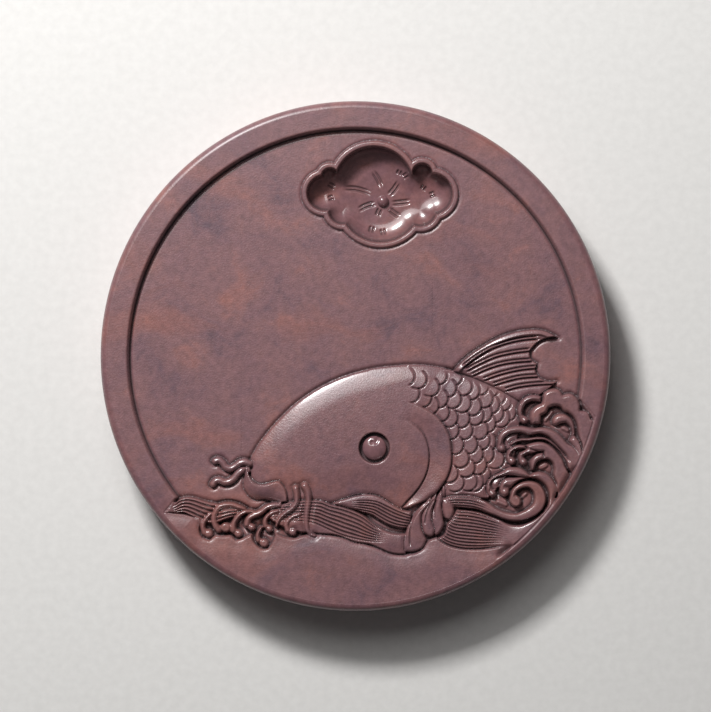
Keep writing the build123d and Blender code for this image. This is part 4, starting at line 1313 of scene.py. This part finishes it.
def run_into_rim():
    """The crests and the low wave rise to the rim's level where they meet it. Along two short arcs a cut
    with a steep outer wall parts them from it."""
    names = ("top_crest", "middle_crest", "lower_crest", "low_wave")
    meeting = np.isin(owner, [form(name) for name in names])
    share = eased((from_centre - rim_rise_start) / rim_rise_width)
    height[meeting] += ((rim_level - rim_rise_gap - height) * share)[meeting]
    bearing = np.degrees(np.arctan2(place_y, place_x))
    inner = pocket_radius - from_centre
    width = np.where(inner > 0, pocket_inner_width, pocket_outer_width)
    profile = np.exp(-((inner / width) ** 2))
    for first, last, deep in pocket_cuts:
        ends = eased((bearing - first) / pocket_fade) * eased((last - bearing) / pocket_fade)
        height[:] -= deep * ends * profile


def close_notch(notch_shares, within):
    """Where a wave or a crest breaks over the rim, it rises to the rim's level along the notch."""
    from_notch, share = near(line_of(notch_shares), places)
    closed = eased(1 - from_notch / notch_width) * eased(share / notch_fade_share)
    height[:] += (rim_level - notch_gap - height) * within * closed


def carve_face():
    """The whole face, from the back to the front."""
    within = carve_ground()
    carve_back_fin()
    carve_head()
    carve_scales()
    carve_wave("rear_wave", rear_wave_shares, 5, 1.2, wave_top - 0.2, bundle=rear_strand_shares)
    low_fade = (0.25, 0.65)
    carve_wave("low_wave", low_wave_shares, 12, 1.15, wave_top, low_fade, skip=(0, 3), within=within)
    carve_crest("top_crest", top_crest_shares, top_ball_shares, [-0.2, 0, -0.8, -0.3], 1.7, within)
    middle_tops = [0, -0.3, -0.2, -0.2, -0.1, 0]
    carve_crest("middle_crest", middle_crest_shares, middle_ball_shares, middle_tops, 1.4, within)
    carve_crest("lower_crest", lower_crest_shares, lower_ball_shares, [0, -0.2], 1.7, within)
    for line in crest_line_shares:
        engrave(line, crest_line_width, crest_line_depth)
    tail_fade = (0.25, 0.5)
    carve_wave("tail_wave", tail_wave_shares, 5, 1.1, wave_top + 0.2, tail_fade, balls=[tail_ball_share])
    carve_islands()
    run_into_rim()
    close_notch(right_notch_shares, within)
    carve_wave("left_wave", left_wave_shares, 5, 1.2, wave_top - 0.2, within=within)
    close_notch(left_notch_shares, within)
    carve_wave("middle_wave", middle_wave_shares, 7, 1.15, wave_top, bundle=middle_strand_shares)
    carve_strokes("spray_curls", curl_shares, curl_ball_shares, curl_top, curl_bite, 1.1)
    carve_gill()
    carve_socket()
    carve_strokes("snout_barbels", snout_barbel_shares, [], snout_barbel_top, snout_barbel_bite, 1.15)
    carve_lips()
    carve_side_fin()
    carve_strokes("chin_barbels", chin_barbel_shares, [], chin_barbel_top, chin_barbel_bite, 1.5)
    carve_pool()


carve_face()


# What shows where: hollows darken with painted shade and ink, and edges wear
def roughen():
    """A hand-worked face: small punch marks on the ground beside each form, random heights smoothed over a
    few steps, and a faint swell of broad sines inside the rim. Returns how strongly each place is
    punched."""
    random = np.random.default_rng(7)
    marks = spread(random.standard_normal(len(places)), 2) * 3
    ground = owner == form("ground")
    beside = np.clip(spread((~ground).astype(float), 4) * 3, 0, 1) * ground
    punched = np.clip(beside + bank_punch_share * chisel, 0, 1)
    punched[owner == form("rim")] = 0
    swell = np.sin(place_x / 17 + 1.3) * np.sin(place_y / 23 + 0.4)
    swell = (swell + 0.6 * np.sin(place_x / 31 - place_y / 19)) * eased((88 - from_centre) / 8)
    height[:] = height + marks * punched * punch_depth + swell_depth * swell
    return punched


def eased_borders():
    """The heights, with the step at each form's border eased over one step of the grid both ways."""
    square = owner.reshape(2 * rings + 1, -1).astype(float)
    changes = np.abs(np.gradient(square, axis=0)) + np.abs(np.gradient(square, axis=1))
    at_border = spread((changes > 0).ravel().astype(float), 1) > 0
    return np.where(at_border, spread(height, 1), height)


def face_normals():
    """The face's slope at each place, from the steps to its neighbours both ways, so that it runs on over
    seams."""
    square = np.stack([place_x, place_y, height], axis=1).reshape(2 * rings + 1, 2 * rings + 1, 3)
    normal = np.cross(np.gradient(square, axis=0), np.gradient(square, axis=1)).reshape(-1, 3)
    return normal / np.linalg.norm(normal, axis=1)[:, None]


stipple = roughen()
height = np.minimum(eased_borders(), rim_level)
smooth = spread(spread(height, 3), 2)
# Painted shade and ink: places that lie below their smoothed surroundings are darkened in colour
shade_and_ink = np.clip((smooth - height) / hollow_shade_depth, 0, 1)
wear = np.clip((height - smooth) / wear_height, 0, 1)
slopes = face_normals()
# Painted shade, laid into the same darkening: on the pool's steep walls, and in a ring round the eye's ball
painted_wall_shade = (owner == form("pool_bowl")) * np.clip(wall_shade_gain * (wall_shade_start - slopes[:, 2]), 0, most_wall_shade)
from_eye = np.hypot(place_x - eye_share[0] * stone_radius, place_y - eye_share[1] * stone_radius)
painted_socket_shade = eased((eye_radius + eye_shade_width - from_eye) / eye_shade_edge)
shade_and_ink = np.maximum(np.maximum(shade_and_ink, painted_wall_shade), painted_socket_shade)


# Pieces of the face
def cells_of():
    """The form that each cell of the grid shows: the one furthest forward at its four corners. Where cells
    of a form meet at a corner only, the four cells there take the one furthest forward."""
    side = 2 * rings + 1
    square = owner.reshape(side, side)
    cells = np.maximum.reduce([square[:-1, :-1], square[1:, :-1], square[:-1, 1:], square[1:, 1:]])
    for _ in range(6):
        a, b, c, d = cells[:-1, :-1], cells[1:, :-1], cells[:-1, 1:], cells[1:, 1:]
        pinched = ((a == d) & (a != b) & (a != c)) | ((b == c) & (b != a) & (b != d))
        if not pinched.any():
            break
        highest = np.maximum(np.maximum(a, b), np.maximum(c, d))
        for part in (a, b, c, d):
            part[pinched] = highest[pinched]
    return cells


def add_mesh(name, points, quads, triangles, smooth_count, values=None, normals=None):
    """A mesh of quads and then triangles. The first smooth_count faces are shaded smooth, and where normals
    are given for its first points, those faces take them."""
    mesh = bpy.data.meshes.new(name)
    mesh.vertices.add(len(points))
    mesh.vertices.foreach_set("co", (points * MM).astype(np.float32).ravel())
    corners = np.concatenate([quads.ravel(), triangles.ravel()]).astype(np.int32)
    sizes = np.concatenate([np.full(len(quads), 4), np.full(len(triangles), 3)])
    starts = np.concatenate([[0], np.cumsum(sizes)[:-1]]).astype(np.int32)
    mesh.loops.add(len(corners))
    mesh.loops.foreach_set("vertex_index", corners)
    mesh.polygons.add(len(sizes))
    mesh.polygons.foreach_set("loop_start", starts)
    mesh.polygons.foreach_set("use_smooth", np.arange(len(sizes)) < smooth_count)
    for key, value in (values or {}).items():
        mesh.attributes.new(key, "FLOAT", "POINT").data.foreach_set("value", value.astype(np.float32))
    mesh.update(calc_edges=True)
    mesh.validate()
    if normals is not None:
        loops = np.zeros((len(corners), 3))
        loops[:smooth_count * 4] = normals[corners[:smooth_count * 4]]
        mesh.normals_split_custom_set(loops.tolist())
    piece = bpy.data.objects.new(name, mesh)
    bpy.context.scene.collection.objects.link(piece)
    return piece


def filled(points, edges):
    """Triangles that fill the flat region inside closed loops of edges, facing down."""
    sheet = bmesh.new()
    corners = [sheet.verts.new((x, y, 0)) for x, y in points]
    sides = [sheet.edges.new((corners[a], corners[b])) for a, b in edges]
    sheet.verts.index_update()
    bmesh.ops.triangle_fill(sheet, use_beauty=False, use_dissolve=False, edges=sides)
    triangles = np.array([[corner.index for corner in face.verts] for face in sheet.faces])
    sheet.free()
    a, b, c = (points[triangles[:, k]] for k in range(3))
    turn = (b[:, 0] - a[:, 0]) * (c[:, 1] - a[:, 1]) - (b[:, 1] - a[:, 1]) * (c[:, 0] - a[:, 0])
    triangles[turn > 0] = triangles[turn > 0][:, ::-1]
    return triangles


def face_piece(name, shown, bottom, tuck=None):
    """A closed piece of the face: the cells that it shows, a wall down from their border and a flat
    underside. Where tuck is given, it also reaches one cell under its neighbours there, so that no gap
    shows between them."""
    surface = height
    if tuck is not None:
        wide = np.pad(shown, 1)
        wide = wide[2:, 1:-1] | wide[:-2, 1:-1] | wide[1:-1, 2:] | wide[1:-1, :-2]
        corners = np.zeros((2 * rings + 1, 2 * rings + 1), bool)
        for part in (corners[:-1, :-1], corners[1:, :-1], corners[:-1, 1:], corners[1:, 1:]):
            part |= shown
        surface = np.where(corners.ravel(), height, height - seam_tuck)
        shown = shown | (wide & tuck)
    side = 2 * rings + 1
    index = np.arange(side * side).reshape(side, side)
    corner_a, corner_b = index[:-1, :-1], index[1:, :-1]
    corner_c, corner_d = index[1:, 1:], index[:-1, 1:]
    quads = np.stack([corner_a[shown], corner_b[shown], corner_c[shown], corner_d[shown]], axis=1)
    padded = np.pad(shown, 1)
    borders = []
    for gap, start, end in (
        (~padded[1:-1, :-2], corner_a, corner_b), (~padded[2:, 1:-1], corner_b, corner_c),
        (~padded[1:-1, 2:], corner_c, corner_d), (~padded[:-2, 1:-1], corner_d, corner_a),
    ):
        edge = shown & gap
        borders.append(np.stack([start[edge], end[edge]], axis=1))
    borders = np.vstack(borders)
    used, quads = np.unique(quads, return_inverse=True)
    quads = quads.reshape(-1, 4)
    borders = np.searchsorted(used, borders)
    rim_used, rim_borders = np.unique(borders, return_inverse=True)
    rim_borders = rim_borders.reshape(-1, 2)
    top = np.stack([place_x[used], place_y[used], surface[used]], axis=1)
    foot = top[rim_used].copy()
    foot[:, 2] = bottom
    start, end = borders.T
    foot_start, foot_end = len(top) + rim_borders.T
    walls = np.stack([end, start, foot_start, foot_end], axis=1)
    under = filled(foot[:, :2], rim_borders) + len(top)
    values = {
        key: np.concatenate([value[used], np.zeros(len(foot))])
        for key, value in (("shade_and_ink", shade_and_ink), ("wear", wear), ("stipple", stipple))
    }
    points = np.vstack([top, foot])
    return add_mesh(name, points, np.vstack([quads, walls]), under, len(quads), values, slopes[used])


def turned(name, profile, segments, centre=(0, 0), sunk=None, hidden=0):
    """A surface of revolution about +Z: the profile's points, from the bottom pole out and up to the top
    pole, carried round a circle. Both poles are single points. sunk gives how far a place on it is cut
    down. Its last hidden rows are flat shaded."""
    radii, heights = np.asarray(profile, float).T
    angle = np.arange(segments) / segments * 2 * math.pi
    ring_x = radii[1:-1, None] * np.cos(angle) + centre[0]
    ring_y = radii[1:-1, None] * np.sin(angle) + centre[1]
    ring_z = np.repeat(heights[1:-1, None], segments, axis=1)
    body = np.stack([ring_x, ring_y, ring_z], axis=2).reshape(-1, 3)
    points = np.vstack([[(*centre, heights[0])], body, [(*centre, heights[-1])]])
    if sunk is not None:
        points[:, 2] -= sunk(points)
    count = len(radii) - 2
    here = 1 + np.arange(count * segments).reshape(count, segments)
    after = np.roll(here, -1, axis=1)
    quads = np.stack([here[:-1], after[:-1], after[1:], here[1:]], axis=2).reshape(-1, 4)
    last = len(points) - 1
    low = np.stack([np.zeros(segments, int), after[0], here[0]], axis=1)
    high = np.stack([np.full(segments, last), here[-1], after[-1]], axis=1)
    triangles = np.vstack([low, high])
    values = {key: np.zeros(len(points)) for key in ("shade_and_ink", "wear", "stipple")}
    smooth_count = len(quads) - hidden * segments if hidden else len(quads) + len(triangles)
    return add_mesh(name, points, quads, triangles, smooth_count, values)


def arc_profile(centre, radius, start, end, count):
    """Points of an arc in a profile, by angle in degrees."""
    angle = np.radians(np.linspace(start, end, count))
    return [(centre[0] + radius * math.cos(a), centre[1] + radius * math.sin(a)) for a in angle]


def finish_piece(piece, node, material):
    """Sets a piece on the stone and gives it its finish."""
    piece.data.materials.append(material)
    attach(piece, "root")
    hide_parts(node)
    return piece


# Materials
def linear(hex_colour):
    """An sRGB hex colour as linear red, green, blue and full cover."""
    parts = [int(hex_colour[i:i + 2], 16) / 255 for i in (1, 3, 5)]
    return tuple(p / 12.92 if p <= 0.04045 else ((p + 0.055) / 1.055) ** 2.4 for p in parts) + (1.0,)


def add_node(tree, kind, links=None, settings=None, **inputs):
    """Adds a node: settings are its own options, inputs its sockets' values, and links the sockets that
    feed it."""
    node = tree.nodes.new(kind)
    for key, value in (settings or {}).items():
        setattr(node, key, value)
    for key, value in inputs.items():
        node.inputs[key.replace("_", " ")].default_value = value
    for key, source in (links or {}).items():
        tree.links.new(source, node.inputs[key])
    return node


def scale_of(size):
    """The scale of a pattern whose features lie so many millimetres apart."""
    return 1 / (size * MM)


def noise(tree, place, scale, detail=2.0, roughness=0.5):
    """Soft noise: each finer layer of its detail is weaker by its roughness."""
    sockets = {"Scale": scale, "Detail": detail, "Roughness": roughness}
    return add_node(tree, "ShaderNodeTexNoise", {"Vector": place}, **sockets)


def ranged(tree, value, **ends):
    """A value carried evenly from one range to another, and held at its ends."""
    return add_node(tree, "ShaderNodeMapRange", {"Value": value}, **ends).outputs[0]


def layered(tree, under, cover, hex_colour):
    """A colour laid over what is under it, as far as its cover says."""
    layer = add_node(tree, "ShaderNodeMix", {"Factor": cover, 6: under}, {"data_type": "RGBA"})
    layer.inputs[7].default_value = linear(hex_colour)
    return layer.outputs[2]


def share_of(tree, value, share):
    """A share of a value."""
    part = add_node(tree, "ShaderNodeMath", {0: value}, {"operation": "MULTIPLY"})
    part.inputs[1].default_value = share
    return part.outputs[0]


def carried(tree, name):
    """A value that the face's places carry."""
    return add_node(tree, "ShaderNodeAttribute", settings={"attribute_name": name}).outputs["Fac"]


def stops(tree, value, places_and_colours):
    """A ramp of colours along a value, from its stops."""
    node = add_node(tree, "ShaderNodeValToRGB", {"Fac": value})
    ramp = node.color_ramp
    while len(ramp.elements) < len(places_and_colours):
        ramp.elements.new(0.5)
    for element, (place, colour) in zip(ramp.elements, places_and_colours):
        element.position = place
        element.color = linear(colour)
    return node.outputs[0]


def stone_material(name, roughness, coat, coat_roughness, grain_depth):
    """Purple-brown fine-grained mudstone, rubbed with wax. Clay and iron give it soft rust clouds and
    streaks on a purple ground, silt gives tiny pale specks, and the wax a satin shine that is broken in
    the cut hollows."""
    material = bpy.data.materials.new(name)
    material.use_nodes = True
    tree = material.node_tree
    tree.nodes.clear()
    place = add_node(tree, "ShaderNodeTexCoord").outputs["Object"]

    # Clouds and streaks, both bent by a broad noise
    warp = noise(tree, place, scale_of(cloud_bend_size), 3.0).outputs["Color"]
    scaling, adding = {"operation": "SCALE"}, {"operation": "ADD"}
    bend = add_node(tree, "ShaderNodeVectorMath", {0: warp}, scaling, Scale=cloud_bend * MM).outputs[0]
    bent_place = add_node(tree, "ShaderNodeVectorMath", {0: place, 1: bend}, adding).outputs[0]
    clouds = noise(tree, bent_place, scale_of(cloud_size), 8.0, 0.66).outputs["Fac"]
    cloud_colours = [(0.30, "#634a54"), (0.43, "#7a575c"), (0.56, "#815b5d"), (0.72, "#94615b")]
    colour = stops(tree, clouds, cloud_colours)
    stretch = add_node(tree, "ShaderNodeMapping", {"Vector": bent_place})
    stretch.inputs["Rotation"].default_value = (0, 0, math.radians(streak_turn))
    stretch.inputs["Scale"].default_value = [scale_of(size) for size in streak_sizes]
    streaks = noise(tree, stretch.outputs[0], 1.0, 4.0).outputs["Fac"]
    streak_cover = ranged(tree, streaks, From_Min=0.53, From_Max=0.72, To_Max=0.60)
    colour = layered(tree, colour, streak_cover, "#945c51")

    # Grain and pale specks
    grain = noise(tree, place, scale_of(grain_size), 6.0, 0.75).outputs["Fac"]
    tint = ranged(tree, grain, From_Min=0.3, From_Max=0.7, To_Min=0.76, To_Max=1.24)
    colour = add_node(tree, "ShaderNodeVectorMath", {0: colour, "Scale": tint}, scaling).outputs[0]
    specks = add_node(tree, "ShaderNodeTexVoronoi", {"Vector": place}, Scale=scale_of(speck_gap))
    speck_cover = ranged(tree, specks.outputs["Distance"], From_Min=0.10, From_Max=0.04, To_Max=0.30)
    colour = layered(tree, colour, speck_cover, "#a98a88")

    # Hollows darkened with painted shade and ink, pale dust on the punched ground and worn edges
    shade_and_ink_value = carried(tree, "shade_and_ink")
    # Painted shade laid over the colour: shade and ink in the hollows, shade on the pool's wall and round
    # the eye
    colour = layered(tree, colour, share_of(tree, shade_and_ink_value, 0.72), "#2b1f22")
    dust = noise(tree, place, scale_of(dust_size)).outputs["Fac"]
    dust_cover = ranged(tree, dust, From_Min=0.52, From_Max=0.68, To_Max=1.2)
    product = {"operation": "MULTIPLY", "use_clamp": True}
    dust_here = add_node(tree, "ShaderNodeMath", {0: dust_cover, 1: carried(tree, "stipple")}, product)
    colour = layered(tree, colour, dust_here.outputs[0], "#857478")
    colour = layered(tree, colour, share_of(tree, carried(tree, "wear"), 0.22), "#9c7471")

    # The shine, which the hollows and the fine grain break
    rough = ranged(tree, shade_and_ink_value, To_Min=roughness, To_Max=0.8)
    fine = noise(tree, place, scale_of(tooth_size), 3.0).outputs["Fac"]
    depths = {"Strength": grain_depth, "Distance": tooth_depth * MM}
    bump = add_node(tree, "ShaderNodeBump", {"Height": fine}, **depths).outputs[0]
    fed = {"Base Color": colour, "Roughness": rough, "Normal": bump}
    wax = {"Coat_Weight": coat, "Coat_Roughness": coat_roughness}
    shader = add_node(tree, "ShaderNodeBsdfPrincipled", fed, IOR=1.5, **wax)
    end = add_node(tree, "ShaderNodeOutputMaterial")
    tree.links.new(shader.outputs[0], end.inputs["Surface"])
    return material


def floor_material():
    """Plain pale paper with a faint tooth, seen as near white round the stone."""
    material = bpy.data.materials.new("pale_paper")
    material.use_nodes = True
    tree = material.node_tree
    shader = tree.nodes["Principled BSDF"]
    shader.inputs["Roughness"].default_value = 0.9
    place = add_node(tree, "ShaderNodeTexCoord").outputs["Object"]
    tooth = noise(tree, place, scale_of(paper_tooth_size)).outputs["Fac"]
    tree.links.new(stops(tree, tooth, [(0.3, "#e2e0dd"), (0.7, "#e8e6e3")]), shader.inputs["Base Color"])
    return material


waxed_stone = stone_material(
    "waxed_purple_mudstone", roughness=0.44, coat=0.5, coat_roughness=0.30, grain_depth=0.35
)
carved_stone = stone_material(
    "carved_purple_mudstone", roughness=0.36, coat=1.0, coat_roughness=0.19, grain_depth=0.4
)
polished_stone = stone_material(
    "polished_purple_mudstone", roughness=0.25, coat=1.0, coat_roughness=0.09, grain_depth=0.05
)


# The stone's pieces
def dress_face():
    """Cuts the face into its pieces and seats each on the stone. The rim and the field are cut into several,
    one cell of each reaching under the next."""
    cells = cells_of()
    middle_x = place_x.reshape(2 * rings + 1, -1)[:-1, :-1]
    middle_y = place_y.reshape(2 * rings + 1, -1)[:-1, :-1]
    ground = cells == owners.index("ground")
    rim = cells == owners.index("rim")
    slab = [
        ("rim_left", rim & (middle_x < 0), rim),
        ("rim_right", rim & (middle_x >= 0), rim),
        ("bank", cells == owners.index("bank"), None),
        ("pool_bowl", cells == owners.index("pool_bowl"), None),
    ]
    for number, (start, end) in enumerate(zip(field_cuts, field_cuts[1:])):
        column = ground & (middle_x >= start) & (middle_x < end)
        slab.append((f"field_{number}_upper", column & (middle_y >= field_cut_across), ground))
        slab.append((f"field_{number}_lower", column & (middle_y < field_cut_across), ground))
    for name, shown, tuck in slab:
        material = polished_stone if name == "pool_bowl" else waxed_stone
        piece = face_piece(name, shown, face_underside, tuck)
        finish_piece(piece, "stone_slab", material)
    body_names = ("carp_head", "scaled_back", "gill_cover")
    body = np.isin(cells, [owners.index(name) for name in body_names])
    for name in owners:
        if name in ("ground", "rim", "bank", "pool_bowl"):
            continue
        tuck = body if name in body_names else None
        piece = face_piece(name + "_carving", cells == owners.index(name), face_underside, tuck)
        finish_piece(piece, name, carved_stone)


def dress_slab():
    """The block below the face: its rounded rim edge, its side, its foot and its flat underside."""
    rim_middle, rim_shoulder = stone_radius - rim_edge_round, rim_level - rim_edge_round
    foot_middle = stone_radius - foot_edge_round
    lip_turn = math.degrees(math.acos((grid_reach - rim_middle) / rim_edge_round))
    profile = [(0, 0), (foot_middle - foot_flat_inset, 0)]
    profile += arc_profile((foot_middle, foot_edge_round), foot_edge_round, -90, 0, foot_arc_steps)
    levels = np.linspace(foot_edge_round, rim_shoulder, side_rows)[1:-1]
    profile += [(stone_radius, level) for level in levels]
    profile += arc_profile((rim_middle, rim_shoulder), rim_edge_round, 0, lip_turn, rim_arc_steps)
    profile += [(grid_reach, block_top), (0, block_top)]
    piece = turned("slab_body", profile, slab_segments, hidden=1)
    finish_piece(piece, "stone_slab", waxed_stone)


def dress_bud():
    """The bud on the pool's floor: a ball cut off where it rests."""
    low, high = (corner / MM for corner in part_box("pool_bud"))
    centre = ((low.x + high.x) / 2, (low.y + high.y) / 2)
    radius = (high.x - low.x) / 2
    middle = high.z - radius
    first = math.degrees(math.asin((low.z - middle) / radius))
    profile = [(0, low.z)] + arc_profile((0, middle), radius, first, 90, 24)
    piece = turned("polished_bud", profile, 64, centre)
    finish_piece(piece, "pool_bud", polished_stone)


def dress_eye():
    """The eye: a polished half ellipsoid in its socket, with a drilled pupil and a notch that runs up from
    it."""
    low, high = (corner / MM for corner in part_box("carp_eye"))
    centre = ((low.x + high.x) / 2, (low.y + high.y) / 2)
    reach, rise = (high.x - low.x) / 2, high.z - low.z

    def pupil(points):
        """How far the hole and the notch are cut down, each as a bell curve across it."""
        upper = points[:, 2] > low.z + 0.3
        across, along = points[:, 0] - centre[0], points[:, 1] - centre[1]
        from_hole = (across - pupil_place[0]) ** 2 + (along - pupil_place[1]) ** 2
        hole = pupil_depth * np.exp(-from_hole / pupil_spread)
        way = across * pupil_notch_way[0] + pupil_notch_way[1] * (along - pupil_notch_foot)
        notch = pupil_notch_depth * np.exp(-((way / pupil_notch_width) ** 2))
        notch = notch * eased((along - pupil_notch_start) / pupil_notch_rise)
        return np.maximum(hole, notch) * upper

    turn = np.radians(np.linspace(0, 90, 40))
    profile = [(0, low.z)] + [(reach * math.cos(a), low.z + rise * math.sin(a)) for a in turn]
    piece = turned("polished_eye", profile, 120, centre, pupil)
    finish_piece(piece, "carp_eye", polished_stone)


dress_slab()
dress_face()
dress_bud()
dress_eye()


# The studio
def lamp(name, azimuth, elevation, distance, size, power):
    """A lamp with a rectangular face that looks at the stone's centre, placed by two angles in degrees."""
    data = bpy.data.lights.new(name, "AREA")
    data.shape = "RECTANGLE"
    data.size, data.size_y = size
    data.energy = power
    light = bpy.data.objects.new(name, data)
    a, e = math.radians(azimuth), math.radians(elevation)
    way = np.array([math.cos(a) * math.cos(e), math.sin(a) * math.cos(e), math.sin(e)])
    light.location = way * distance
    light.rotation_euler = (math.pi / 2 - e, 0, a + math.pi / 2)
    bpy.context.scene.collection.objects.link(light)


def build_studio():
    """A pale floor, a key light from the upper left with a broader, weaker one above it, a dim room and the
    camera straight above."""
    half = 3.0
    corners = [(-half, -half, 0), (half, -half, 0), (half, half, 0), (-half, half, 0)]
    mesh = bpy.data.meshes.new("floor")
    mesh.from_pydata(corners, [], [(0, 1, 2, 3)])
    floor = bpy.data.objects.new("floor", mesh)
    bpy.context.scene.collection.objects.link(floor)
    mesh.materials.append(floor_material())

    lamp("key_light", azimuth=118, elevation=47, distance=1.1, size=(0.22, 0.18), power=11.8)
    lamp("sheen_light", azimuth=112, elevation=62, distance=1.0, size=(0.5, 0.4), power=2.2)
    world = bpy.data.worlds.new("studio")
    bpy.context.scene.world = world
    world.use_nodes = True
    world.node_tree.nodes["Background"].inputs["Color"].default_value = linear("#e8e8ea")
    world.node_tree.nodes["Background"].inputs["Strength"].default_value = 0.07

    camera_data = bpy.data.cameras.new("camera")
    camera = bpy.data.objects.new("camera", camera_data)
    bpy.context.scene.collection.objects.link(camera)
    bpy.context.scene.camera = camera
    camera_data.sensor_width = 36.0
    camera_data.lens = 180.0
    frame_width = 2 * stone_radius * MM * photo_height / photo_disc_width
    distance = frame_width * camera_data.lens / camera_data.sensor_width
    camera.location = (0, 0, distance + rim_level * MM)
    camera_data.clip_end = 20


build_studio()
bpy.context.scene.view_settings.view_transform = "Standard"
